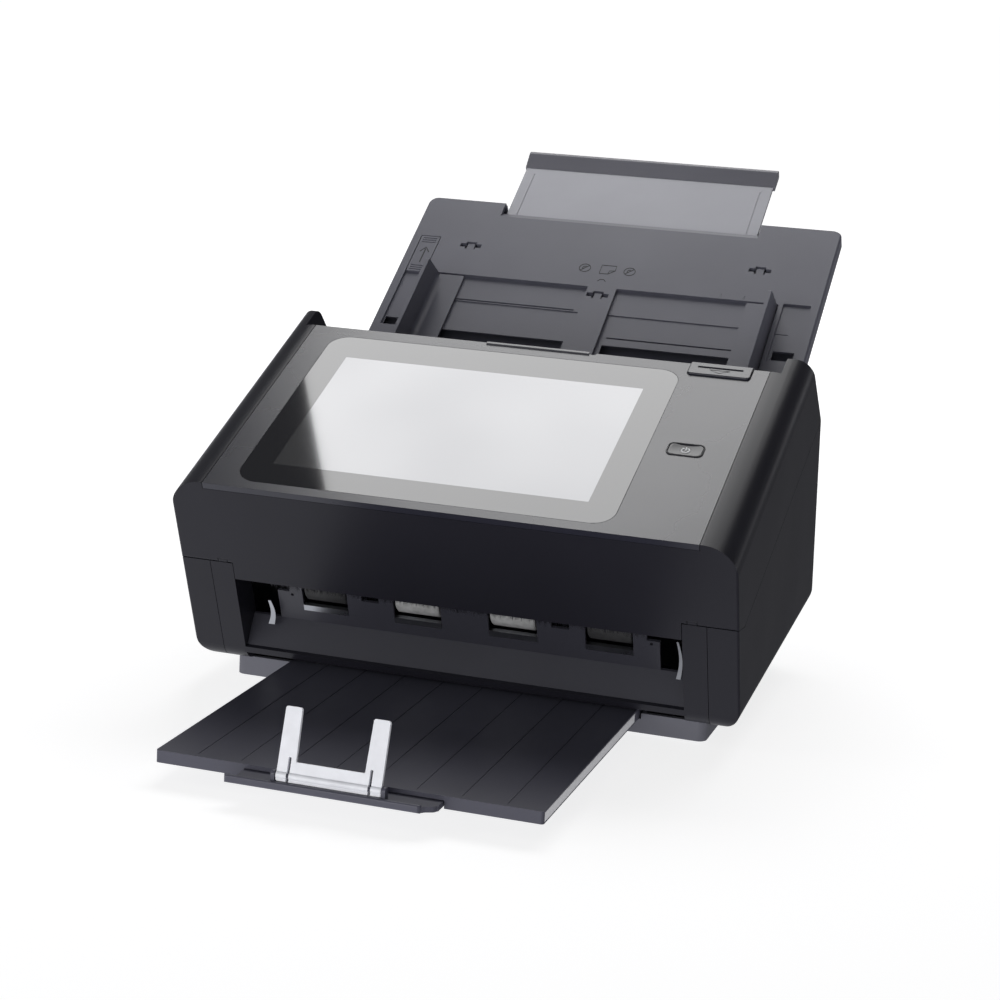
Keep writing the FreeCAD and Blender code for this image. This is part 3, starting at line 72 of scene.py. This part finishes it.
# ------------------------------------------------------------------------------ materials
class Finish:
    """A node material built up in steps. Sizes are in metres, in the row's own frame."""

    def __init__(self, name, colour, roughness, **sockets):
        self.material = bpy.data.materials.new(name)
        self.material.use_nodes = True
        self.tree = self.material.node_tree
        self.shader = self.tree.nodes["Principled BSDF"]
        self.shader.inputs["Base Color"].default_value = (*colour, 1)
        self.shader.inputs["Roughness"].default_value = roughness
        for socket, value in sockets.items():
            self.shader.inputs[socket.replace("_", " ")].default_value = value
        self.colour = colour
        self.roughness = roughness
        self.coords = self.node("TexCoord").outputs["Object"]

    def node(self, kind, **settings):
        made = self.tree.nodes.new("ShaderNode" + kind)
        for key, value in settings.items():
            setattr(made, key, value)
        return made

    def link(self, source, target):
        self.tree.links.new(source, target)

    def within(self, matrix):
        """Reads the textures in a working frame instead of the row's frame."""
        place, turn, _ = matrix.decompose()
        mapping = self.node("Mapping", vector_type="TEXTURE")
        mapping.inputs["Location"].default_value = place
        mapping.inputs["Rotation"].default_value = turn.to_euler()
        self.link(self.coords, mapping.inputs["Vector"])
        self.coords = mapping.outputs["Vector"]
        return self

    def stretched(self, scale):
        mapping = self.node("Mapping")
        mapping.inputs["Scale"].default_value = scale
        self.link(self.coords, mapping.inputs["Vector"])
        return mapping.outputs["Vector"]

    def noise(self, size, detail=3.0, scale=(1, 1, 1)):
        texture = self.node("TexNoise")
        texture.inputs["Scale"].default_value = 1 / size
        texture.inputs["Detail"].default_value = detail
        self.link(self.stretched(scale), texture.inputs["Vector"])
        return texture.outputs["Fac"]

    def ranged(self, source, low, high, start=0.3, end=0.7):
        """Maps a noise onto low to high."""
        mapped = self.node("MapRange")
        for socket, value in zip(("From Min", "From Max", "To Min", "To Max"), (start, end, low, high)):
            mapped.inputs[socket].default_value = value
        self.link(source, mapped.inputs["Value"])
        return mapped.outputs["Result"]

    def tinted(self, size=0.03, spread=0.12):
        """Slow colour variation, from a little darker to a little lighter."""
        mix = self.node("MixRGB")
        dark = tuple(c * (1 - spread) for c in self.colour)
        light = tuple(min(1, c * (1 + spread)) for c in self.colour)
        mix.inputs["Color1"].default_value = (*dark, 1)
        mix.inputs["Color2"].default_value = (*light, 1)
        self.link(self.ranged(self.noise(size), 0, 1), mix.inputs["Fac"])
        self.link(mix.outputs["Color"], self.shader.inputs["Base Color"])
        return self

    def smudged(self, size=0.02, spread=0.06):
        """Roughness that wanders, as handling leaves it."""
        spots = self.ranged(self.noise(size, 5), self.roughness - spread, self.roughness + spread)
        self.link(spots, self.shader.inputs["Roughness"])
        return self

    def grained(self, size=0.0006, depth=0.00003, scale=(1, 1, 1), detail=2.0, strength=0.35):
        """Fine moulded grain."""
        bump = self.node("Bump")
        bump.inputs["Distance"].default_value = depth
        bump.inputs["Strength"].default_value = strength
        self.link(self.noise(size, detail, scale), bump.inputs["Height"])
        self.link(bump.outputs["Normal"], self.shader.inputs["Normal"])
        return self

    def test(self, value, operation, limit):
        step = self.node("Math", operation=operation)
        self.link(value, step.inputs[0])
        step.inputs[1].default_value = limit
        return step.outputs[0]

    def product(self, first, second):
        step = self.node("Math", operation="MULTIPLY")
        self.link(first, step.inputs[0])
        self.link(second, step.inputs[1])
        return step.outputs[0]

    def inside(self, x0, x1, y0, y1):
        """1 within a rectangle of the working frame and 0 outside it."""
        axes = self.node("SeparateXYZ")
        self.link(self.coords, axes.inputs[0])
        x, y = axes.outputs[0], axes.outputs[1]
        across = self.product(self.test(x, "GREATER_THAN", x0), self.test(x, "LESS_THAN", x1))
        along = self.product(self.test(y, "GREATER_THAN", y0), self.test(y, "LESS_THAN", y1))
        return self.product(across, along)

    def blend(self, socket, mask, low, high):
        """Sets a number to low outside a mask and high within it."""
        mapped = self.ranged(mask, low, high, 0, 1)
        self.link(mapped, self.shader.inputs[socket])
        return self


def moulded(name, colour, roughness=0.42, grain=0.0007, depth=0.00003, **sockets):
    sockets.setdefault("Specular_IOR_Level", 0.35)
    finish = Finish(name, colour, roughness, **sockets)
    return finish.tinted(0.06, 0.05).smudged(0.08, 0.02).grained(grain, depth).material


def metal(name, colour, roughness, scale=(1, 1, 1)):
    finish = Finish(name, colour, roughness, Metallic=1.0)
    return finish.tinted(0.02, 0.08).smudged(0.012, 0.05).grained(0.0005, 0.00001, scale).material


def rubber(name, colour, groove=(1, 1, 1)):
    return Finish(name, colour, 0.7).tinted(0.004, 0.2).grained(0.0012, 0.0001, groove, 3, 0.6).material


def screen_material():
    """Black cover glass with the lit area of the display under it."""
    black = (0.006, 0.006, 0.009)
    finish = Finish("screen", black, 0.06, IOR=1.62, Coat_Weight=0.3, Coat_Roughness=0.02)
    finish.within(PANEL)
    active = finish.inside(-104.6 * MM, 70.8 * MM, 25.2 * MM, 137.6 * MM)
    mix = finish.node("MixRGB")
    mix.inputs["Color1"].default_value = (*black, 1)
    shade = finish.node("MixRGB")
    shade.inputs["Color1"].default_value = (0.150, 0.151, 0.156, 1)
    shade.inputs["Color2"].default_value = (0.185, 0.186, 0.190, 1)
    finish.link(finish.ranged(finish.noise(0.12, 1), 0, 1), shade.inputs["Fac"])
    finish.link(shade.outputs["Color"], mix.inputs["Color2"])
    finish.link(active, mix.inputs["Fac"])
    finish.link(mix.outputs["Color"], finish.shader.inputs["Base Color"])
    finish.blend("Metallic", active, 0.0, 0.9)
    finish.link(finish.ranged(finish.noise(0.09, 2), 0.045, 0.060), finish.shader.inputs["Roughness"])
    return finish.material


def board_material():
    """Green solder mask with copper tracks."""
    finish = Finish("circuit_board", (0.012, 0.07, 0.035), 0.35)
    tracks = finish.node("TexBrick", offset=0.37)
    tracks.inputs["Scale"].default_value = 90
    tracks.inputs["Mortar Size"].default_value = 0.035
    tracks.inputs["Color1"].default_value = (0.010, 0.075, 0.035, 1)
    tracks.inputs["Color2"].default_value = (0.014, 0.095, 0.045, 1)
    tracks.inputs["Mortar"].default_value = (0.03, 0.17, 0.08, 1)
    finish.link(finish.coords, tracks.inputs["Vector"])
    finish.link(tracks.outputs["Color"], finish.shader.inputs["Base Color"])
    return finish.smudged().grained(0.001, 0.00002).material


CASING = moulded("casing_black", (0.0165, 0.0162, 0.0225), 0.34, 0.0006, 0.00001, Specular_IOR_Level=0.26)
PANEL_GREY = moulded(
    "panel_charcoal", (0.021, 0.0212, 0.032), 0.27, 0.0009, 0.00003, Specular_IOR_Level=0.60,
)
TRAY_GREY = moulded("tray_grey", (0.110, 0.111, 0.140), 0.42, 0.0009, 0.00005)
SHELF_BLACK = (
    Finish("shelf_black", (0.070, 0.070, 0.096), 0.40).tinted(0.08, 0.1).smudged(0.06, 0.03)
    .grained(0.0009, 0.00005, (1, 0.12, 1)).material
)
GUIDE_BLACK = moulded("guide_black", (0.040, 0.040, 0.052), 0.36, 0.0009, 0.00004, Specular_IOR_Level=0.5)
PEDESTAL_GREY = moulded("pedestal_grey", (0.135, 0.136, 0.163), 0.5, 0.0008, 0.00005)
EXTENSION = moulded("extension_grey", (0.29, 0.292, 0.335), 0.34, 0.0008, 0.00003, Specular_IOR_Level=0.5)
LIP_DARK = moulded("extension_lip", (0.15, 0.15, 0.175), 0.34, 0.0008, 0.00004)
FORK = (
    Finish("stop_silver", (0.86, 0.87, 0.92), 0.34).tinted(0.01, 0.06).smudged()
    .grained(0.0009, 0.00004, (1, 1, 0.1)).material
)
SCREEN = screen_material()
DISPLAY = moulded("display_backing", (0.05, 0.05, 0.055), 0.4)
STEEL = metal("zinc_plate", (0.55, 0.56, 0.57), 0.34)
SHAFT = metal("ground_steel", (0.66, 0.66, 0.67), 0.22, (40, 1, 1))
FOIL = metal("bright_foil", (0.42, 0.43, 0.46), 0.30)
ROLLER_GREY = rubber("roller_grey", (0.42, 0.42, 0.42))
ROLLER_DARK = rubber("roller_dark", (0.035, 0.035, 0.037))
GEARS = moulded("gear_acetal", (0.62, 0.61, 0.57), 0.4)
BUSH = moulded("bush_black", (0.04, 0.04, 0.04), 0.4)
BELT = rubber("belt_rubber", (0.02, 0.02, 0.02))
MOTOR = metal("motor_can", (0.30, 0.30, 0.31), 0.38)
SENSOR = moulded("sensor_black", (0.012, 0.012, 0.014), 0.2)
FEET = rubber("foot_rubber", (0.025, 0.025, 0.026))
SOCKET = moulded("socket_black", (0.012, 0.012, 0.013), 0.3)
BRUSH = moulded("brush_black", (0.02, 0.02, 0.022), 0.6)
BRISTLE = metal("bristle", (0.34, 0.34, 0.37), 0.3)
# Pale colour that paints a highlight on the output tray's side edges.
PAINTED_EDGE_HIGHLIGHT = moulded("painted_edge_highlight", (0.80, 0.80, 0.83), 0.4)
KEY_GREY = moulded("key_charcoal", (0.022, 0.022, 0.028), 0.3, 0.0009, 0.00003, Specular_IOR_Level=0.5)
WHITE_MARK = moulded("white_mark", (0.75, 0.76, 0.78), 0.4)
DARK_MARK = moulded("dark_mark", (0.012, 0.012, 0.014), 0.5)
BOARD = board_material()

NODE_FINISH = {
    CASING: [
        "cover_shell", "side_cover_left", "side_cover_right", "front_frame", "bottom_cover", "rear_cover",
    ],
    PANEL_GREY: ["control_panel", "release_latch"],
    KEY_GREY: ["power_button"],
    SCREEN: ["touch_glass"],
    DISPLAY: ["display_module"],
    BOARD: ["panel_board", "main_board"],
    STEEL: ["upper_frame", "latch_hooks", "side_frame_left", "side_frame_right"],
    GUIDE_BLACK: ["upper_guide", "exit_guide", "lower_guide", "sensor_lever"],
    SENSOR: ["upper_scan_module", "lower_scan_module"],
    ROLLER_DARK: ["exit_pinch_rollers", "feed_pinch_rollers", "exit_rollers_outer", "feed_rollers"],
    ROLLER_GREY: ["exit_rollers", "pick_roller"],
    SHAFT: ["hinge_pins", "exit_shaft", "feed_shaft", "pick_shaft", "motor_pinion", "base_screws"],
    BUSH: ["bearings"],
    GEARS: ["exit_pulley", "feed_gear", "pick_gear", "pick_idler", "idler_gear", "guide_pinion"],
    MOTOR: ["drive_motor"],
    BELT: ["drive_belt"],
    SOCKET: ["dc_inlet", "data_ports"],
    FOIL: ["window_lips"],
    PEDESTAL_GREY: ["pedestal"],
    FEET: ["rubber_feet"],
    SHELF_BLACK: ["output_tray", "output_slide"],
    FORK: ["paper_stop"],
    TRAY_GREY: ["tray_front", "tray_back", "guide_left", "guide_right", "mode_slider"],
    EXTENSION: ["tray_extension"],
    LIP_DARK: ["extension_grip"],
}
EDGE_ROUNDING = {
    "cover_shell": 0.5, "control_panel": 0.4, "side_cover_left": 0.4, "side_cover_right": 0.4,
    "front_frame": 0.35, "rear_cover": 0.4, "bottom_cover": 0.4, "pedestal": 0.6, "output_tray": 0.4,
    "output_slide": 0.4, "paper_stop": 0.25, "tray_front": 0.25, "tray_back": 0.4, "guide_left": 0.3,
    "guide_right": 0.3, "mode_slider": 0.15, "release_latch": 0.5, "power_button": 0.2,
    "tray_extension": 0.25, "extension_grip": 0.3, "touch_glass": 0.2,
}


def dress(node, finish):
    """Gives a CAD node its material, and rounds its edges where it is listed above."""
    shown = nodes[node]
    shown.data.materials.clear()
    shown.data.materials.append(finish)
    weld = shown.modifiers.new("weld", "WELD")
    weld.merge_threshold = 0.004 * MM
    width = EDGE_ROUNDING.get(node)
    if width:
        bevel = shown.modifiers.new("edge_rounding", "BEVEL")
        bevel.width = width * MM
        bevel.segments = 2
        bevel.limit_method = "ANGLE"
        bevel.angle_limit = math.radians(38)
        bevel.use_clamp_overlap = True
        evened = shown.modifiers.new("evened_normals", "WEIGHTED_NORMAL")
        evened.weight = 100
        evened.keep_sharp = True


for finish, names in NODE_FINISH.items():
    for node in names:
        dress(node, finish)


# ------------------------------------------------------------------------------ mesh helpers
def piece(name, mesh, finish, body, matrix=None, smooth=True):
    """Puts a bmesh in the scene as a piece that rides on a body."""
    data = bpy.data.meshes.new(name)
    if matrix:
        mesh.transform(matrix)
    bmesh.ops.recalc_face_normals(mesh, faces=mesh.faces)
    mesh.to_mesh(data)
    mesh.free()
    made = bpy.data.objects.new(name, data)
    scene.collection.objects.link(made)
    data.materials.append(finish)
    for face in data.polygons:
        face.use_smooth = smooth
    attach(made, body)
    return made


def loft(mesh, rings):
    """Skins a list of closed point rings and caps both ends."""
    rows = [[mesh.verts.new(p) for p in ring] for ring in rings]
    for low, high in zip(rows, rows[1:]):
        count = len(low)
        for i in range(count):
            j = (i + 1) % count
            mesh.faces.new((low[i], low[j], high[j], high[i]))
    mesh.faces.new(rows[0][::-1])
    mesh.faces.new(rows[-1])


def stroke(mesh, path, width, low, high, closed=False):
    """A flat-topped raised line with sloping sides along a path in x and y."""
    count = len(path)
    sections = []
    for i, point in enumerate(path):
        here = Vector(point)
        before = Vector(path[i - 1]) if closed or i else here
        after = Vector(path[(i + 1) % count]) if closed or i < count - 1 else here
        along = (after - before).normalized()
        side = Vector((-along.y, along.x)) * width / 2
        top = side * 0.7
        sections.append([
            (*(here - side), low), (*(here - top), high), (*(here + top), high), (*(here + side), low),
        ])
    if closed:
        rows = [[mesh.verts.new(p) for p in section] for section in sections]
        for i, row in enumerate(rows):
            following = rows[(i + 1) % count]
            for k in range(4):
                m = (k + 1) % 4
                mesh.faces.new((row[k], row[m], following[m], following[k]))
    else:
        loft(mesh, sections)


def arc(centre, radius, start, end, steps):
    """Points of an arc, angles in degrees."""
    turns = [math.radians(start + (end - start) * k / steps) for k in range(steps + 1)]
    return [(centre[0] + radius * math.cos(t), centre[1] + radius * math.sin(t)) for t in turns]


def scaled(path):
    """A path given in millimetres, in metres."""
    return [(x * MM, y * MM) for x, y in path]


# ------------------------------------------------------------------------------ marks
KEY_X = 108.2
KEY_Y = 82.4


def power_mark():
    """White ring with a gap and a bar, on the dished key."""
    mesh = bmesh.new()
    width = 0.95 * MM
    level = (-0.34 * MM, 0.02 * MM)
    stroke(mesh, scaled(arc((KEY_X, KEY_Y - 0.2), 2.1, 120, 420, 28)), width, *level)
    stroke(mesh, scaled([(KEY_X, KEY_Y), (KEY_X, KEY_Y + 2.6)]), width, *level)
    piece("power_mark", mesh, WHITE_MARK, "power_key", PANEL, smooth=False)


def power_bezel():
    """Dark raised rim round the power key."""
    mesh = bmesh.new()
    half_x, half_y, radius = 9.75, 5.55, 3.0
    path = []
    for sx, sy, start in ((1, 1, 0), (-1, 1, 90), (-1, -1, 180), (1, -1, 270)):
        centre = (KEY_X + sx * (half_x - radius), KEY_Y + sy * (half_y - radius))
        path += arc(centre, radius, start, start + 90, 6)
    stroke(mesh, scaled(path), 0.9 * MM, -0.05 * MM, 0.42 * MM, closed=True)
    piece("power_bezel", mesh, CASING, "upper_unit", PANEL)


def latch_mark():
    """Small outlined triangle under the latch's groove."""
    mesh = bmesh.new()
    path = [(102.5, 162.4), (114.1, 162.4), (108.3, 159.4)]
    stroke(mesh, scaled(path), 0.45 * MM, 1.18 * MM, 1.32 * MM, closed=True)
    piece("latch_mark", mesh, DARK_MARK, "latch_key", PANEL, smooth=False)


def tray_marks():
    """Raised signs above the guides: a sheet, two crossed-out rings and a small arch."""
    mesh = bmesh.new()
    width = 0.55 * MM
    level = (-0.02 * MM, 0.14 * MM)
    y = -57.0
    for x in (-16.5, 12.6):
        stroke(mesh, scaled(arc((x, y), 3.6, 0, 345, 30)), width, *level, closed=True)
        slant = [(x - 2.5, y - 2.5), (x + 2.5, y + 2.5)]
        stroke(mesh, scaled(slant), width, *level)
        stroke(mesh, scaled(arc((x, y), 1.5, 60, 240, 10)), width, *level)
    sheet = [(-6.2, -61.0), (-6.2, -53.0), (3.4, -53.0), (3.4, -57.6), (-0.6, -61.0)]
    stroke(mesh, scaled(sheet), width, *level, closed=True)
    stroke(mesh, scaled([(-0.6, -61.0), (-0.2, -57.9), (3.4, -57.6)]), width, *level)
    stroke(mesh, scaled([(-5.4, -68.4), (-4.0, -66.6), (-1.6, -66.6), (-0.2, -68.4)]), width, *level)
    piece("tray_marks", mesh, DARK_MARK, "input_tray", TRAY, smooth=False)


def slider_mark():
    """Arrow on the mode slider."""
    mesh = bmesh.new()
    width = 0.9 * MM
    level = (-0.12 * MM, 0.03 * MM)
    x = -124.6
    stroke(mesh, scaled([(x, -66.0), (x, -52.5)]), width, *level)
    stroke(mesh, scaled([(x - 3.0, -55.6), (x, -51.0), (x + 3.0, -55.6)]), width, *level)
    piece("slider_mark", mesh, DARK_MARK, "mode_key", TRAY, smooth=False)


# ------------------------------------------------------------------------------ brush, springs and painted edge highlights
def block(mesh, low, high, chamfer):
    """A box with chamfered edges between two corners."""
    made = bmesh.ops.create_cube(mesh, size=1)["verts"]
    size = Vector(high) - Vector(low)
    bmesh.ops.scale(mesh, vec=size, verts=made)
    bmesh.ops.translate(mesh, vec=(Vector(high) + Vector(low)) / 2, verts=made)
    edges = list({edge for vert in made for edge in vert.link_edges})
    bmesh.ops.bevel(mesh, geom=edges, offset=chamfer, segments=1, affect="EDGES")


def hair(mesh, root, tip, radius):
    """A thin three-sided needle."""
    ring = []
    for k in range(3):
        angle = 2 * math.pi * k / 3
        ring.append(mesh.verts.new(root + Vector((math.cos(angle), math.sin(angle), 0)) * radius))
    point = mesh.verts.new(tip)
    mesh.faces.new(ring)
    for k in range(3):
        mesh.faces.new((ring[k], ring[(k + 1) % 3], point))


TUFTS = 150
HAIRS_PER_TUFT = 9
FRINGE_HALF = 105
HAIR_ROOT = (3.6, -60.6)
HAIR_RADIUS = 0.15


def brush_fringe():
    """Strip behind the front face's lower edge with uneven tufts that hang over the rollers."""
    strip = bmesh.new()
    block(strip, Vector((-107, 2.6, -60.8)) * MM, Vector((107, 4.6, -56.2)) * MM, 0.3 * MM)
    holder = piece("brush_strip", strip, BRUSH, "upper_unit", PANEL, smooth=False)
    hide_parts("antistatic_brush")
    mesh = bmesh.new()
    root_y, root_z = HAIR_ROOT
    for tuft in range(TUFTS):
        x = -FRINGE_HALF + 2 * FRINGE_HALF * (tuft + 0.5) / TUFTS
        reach = random.uniform(5.4, 7.4)
        leaning = random.uniform(-0.8, 0.8)
        for _ in range(HAIRS_PER_TUFT):
            root = Vector((x + random.uniform(-0.6, 0.6), root_y + random.uniform(-0.5, 0.5), root_z)) * MM
            fall = Vector((leaning + random.uniform(-0.7, 0.7), random.uniform(-0.9, 0.5), 0))
            fall.z = -reach - random.uniform(-1.2, 0.6)
            hair(mesh, root, root + fall * MM, HAIR_RADIUS * MM)
    piece("bristles", mesh, BRISTLE, "upper_unit", PANEL)


LEAF_STEPS = 8
LEAF_BOW = 1.6
LEAF_THICKNESS = 0.4


def exit_springs():
    """Bent spring leaves beside the exit's inner wall."""
    mesh = bmesh.new()
    for inner, width, top, bottom in ((-113.6, 3.6, -84.0, -97.5), (118.6, 2.4, -74.0, -96.0)):
        rings = []
        for k in range(LEAF_STEPS + 1):
            t = k / LEAF_STEPS
            x0 = inner + LEAF_BOW * math.sin(math.pi * t)
            x1 = x0 + width * (0.45 + 0.55 * t)
            front = 13.0 - 3.5 * t
            back = front + LEAF_THICKNESS
            z = top + (bottom - top) * t
            corners = ((x0, front, z), (x1, front, z), (x1, back, z), (x0, back, z))
            rings.append([Vector(corner) * MM for corner in corners])
        loft(mesh, rings)
    piece("exit_springs", mesh, FOIL, "base", PANEL, smooth=False)


def shelf_edge_highlights():
    """Thin pale strips on the sides of the output tray: a painted highlight along its lit side edges."""
    mesh = bmesh.new()
    shelf = nodes["output_tray"].bound_box
    low = [min(corner[i] for corner in shelf) for i in range(3)]
    high = [max(corner[i] for corner in shelf) for i in range(3)]
    thickness = 0.15 * MM
    for x0, x1 in ((low[0] - thickness, low[0]), (high[0], high[0] + thickness)):
        front = (x0, low[1] + 1.5 * MM, high[2] - 5.4 * MM)
        block(mesh, front, (x1, high[1] - 60 * MM, high[2] - 0.7 * MM), 0.05 * MM)
    piece("shelf_edge_highlights", mesh, PAINTED_EDGE_HIGHLIGHT, "output_shelf", smooth=False)


power_mark()
power_bezel()
latch_mark()
tray_marks()
slider_mark()
brush_fringe()
exit_springs()
shelf_edge_highlights()


# ------------------------------------------------------------------------------ studio
FLOOR_REACH = 600.0
FLOOR_GLOW_NEAR = 0.80
FLOOR_GLOW_FAR = 0.98
GLOW_STARTS = 0.5
GLOW_ENDS = 2.6
SKY_LEFT = 0.16
SKY_RIGHT = 0.05
BOUNCE_LEFT = 0.9
BOUNCE_RIGHT = 0.04


def studio_floor():
    """Very large pale floor: it takes a soft shadow near the object and glows white far off."""
    mesh = bmesh.new()
    corners = [(-1, -1, 0), (1, -1, 0), (1, 1, 0), (-1, 1, 0)]
    mesh.faces.new([mesh.verts.new(Vector(corner) * FLOOR_REACH) for corner in corners])
    data = bpy.data.meshes.new("floor")
    mesh.to_mesh(data)
    mesh.free()
    floor = bpy.data.objects.new("floor", data)
    scene.collection.objects.link(floor)
    finish = Finish("floor_white", (0.44, 0.44, 0.445), 0.9, Specular_IOR_Level=0.0)
    finish.shader.inputs["Emission Color"].default_value = (1, 1, 1, 1)
    distance = finish.node("VectorMath", operation="LENGTH")
    finish.link(finish.coords, distance.inputs[0])
    far = distance.outputs["Value"]
    glow = finish.ranged(far, FLOOR_GLOW_NEAR, FLOOR_GLOW_FAR, GLOW_STARTS, GLOW_ENDS)
    finish.link(glow, finish.shader.inputs["Emission Strength"])
    data.materials.append(finish.material)
    floor.visible_glossy = False


def softbox(name, corner, along, across, width, height, radiance):
    """Rectangular area light of a given brightness that starts at a corner.

    Its width runs along one direction and its height across. It shines against their cross product.
    """
    light = bpy.data.lights.new(name, "AREA")
    light.shape = "RECTANGLE"
    light.size = width
    light.size_y = height
    light.energy = radiance * math.pi * width * height
    made = bpy.data.objects.new(name, light)
    u = Vector(along).normalized()
    v = (Vector(across) - Vector(across).project(u)).normalized()
    turn = Matrix((u, v, u.cross(v))).transposed().to_4x4()
    centre = Vector(corner) + u * width / 2 + v * height / 2
    made.matrix_world = Matrix.Translation(centre) @ turn
    made.visible_camera = False
    scene.collection.objects.link(made)


def studio_sky():
    """Dim surroundings, brighter on the left, with a white horizon and light from below it."""
    world = bpy.data.worlds.new("studio")
    scene.world = world
    world.use_nodes = True
    tree = world.node_tree
    back = tree.nodes["Background"]
    coords = tree.nodes.new("ShaderNodeTexCoord")
    axes = tree.nodes.new("ShaderNodeSeparateXYZ")
    tree.links.new(coords.outputs["Generated"], axes.inputs[0])

    def ranged(source, start, end, low, high):
        fall = tree.nodes.new("ShaderNodeMapRange")
        for socket, value in zip(("From Min", "From Max", "To Min", "To Max"), (start, end, low, high)):
            fall.inputs[socket].default_value = value
        tree.links.new(source, fall.inputs["Value"])
        return fall.outputs["Result"]

    def combined(first, second, operation):
        step = tree.nodes.new("ShaderNodeMath")
        step.operation = operation
        tree.links.new(first, step.inputs[0])
        tree.links.new(second, step.inputs[1])
        return step.outputs[0]

    x, z = axes.outputs[0], axes.outputs[2]
    across = ranged(x, -0.7, 0.5, SKY_LEFT, SKY_RIGHT)
    horizon = ranged(z, 0.02, 0.08, 1.0, 0.0)
    above_floor = ranged(z, -0.004, -0.001, 0.0, 1.0)
    sideways = ranged(x, -0.42, 0.02, BOUNCE_LEFT, BOUNCE_RIGHT)
    bounce = combined(sideways, ranged(z, -0.30, -0.05, 1.0, 0.0), "MULTIPLY")
    upper = combined(across, combined(horizon, above_floor, "MULTIPLY"), "ADD")
    tree.links.new(combined(upper, bounce, "ADD"), back.inputs["Strength"])
    back.inputs["Color"].default_value = (0.96, 0.97, 1.0, 1)


studio_floor()
studio_sky()
softbox("overhead", (-0.44, 0.27, 1.33), (0.899, 0.437, 0.04), (-0.437, 0.899, 0), 1.5, 1.2, 3.7)
softbox("left_fill", (-1.5, -0.4, 0.1), (0.6, -0.8, 0), (0.2, 0.1, 1), 0.9, 1.0, 0.8)
softbox("front_fill", (-1.3, -1.7, 0.04), (1, 0, 0), (0, -0.2, 1), 1.9, 0.55, 3.6)

# ------------------------------------------------------------------------------ camera
FOCAL_LENGTH = 84.8
SENSOR_WIDTH = 36.0
CAMERA_FROM_PANEL = Vector((0.3699, -1.1235, 0.2672))
CAMERA_RIGHT = Vector((0.95212, 0.30057, 0.05597))
CAMERA_DOWN = Vector((0.11658, -0.18769, -0.97529))
CAMERA_FORWARD = Vector((-0.28263, 0.93511, -0.21375))


def photo_camera():
    """Camera that stands where the photograph was taken from."""
    data = bpy.data.cameras.new("camera")
    data.lens = FOCAL_LENGTH
    data.sensor_width = SENSOR_WIDTH
    camera = bpy.data.objects.new("camera", data)
    turn = Matrix((CAMERA_RIGHT, -CAMERA_DOWN, -CAMERA_FORWARD)).transposed().to_4x4()
    camera.matrix_world = Matrix.Translation(PANEL.translation + CAMERA_FROM_PANEL) @ turn
    scene.collection.objects.link(camera)
    return camera


scene.camera = photo_camera()
scene.view_settings.view_transform = "Standard"
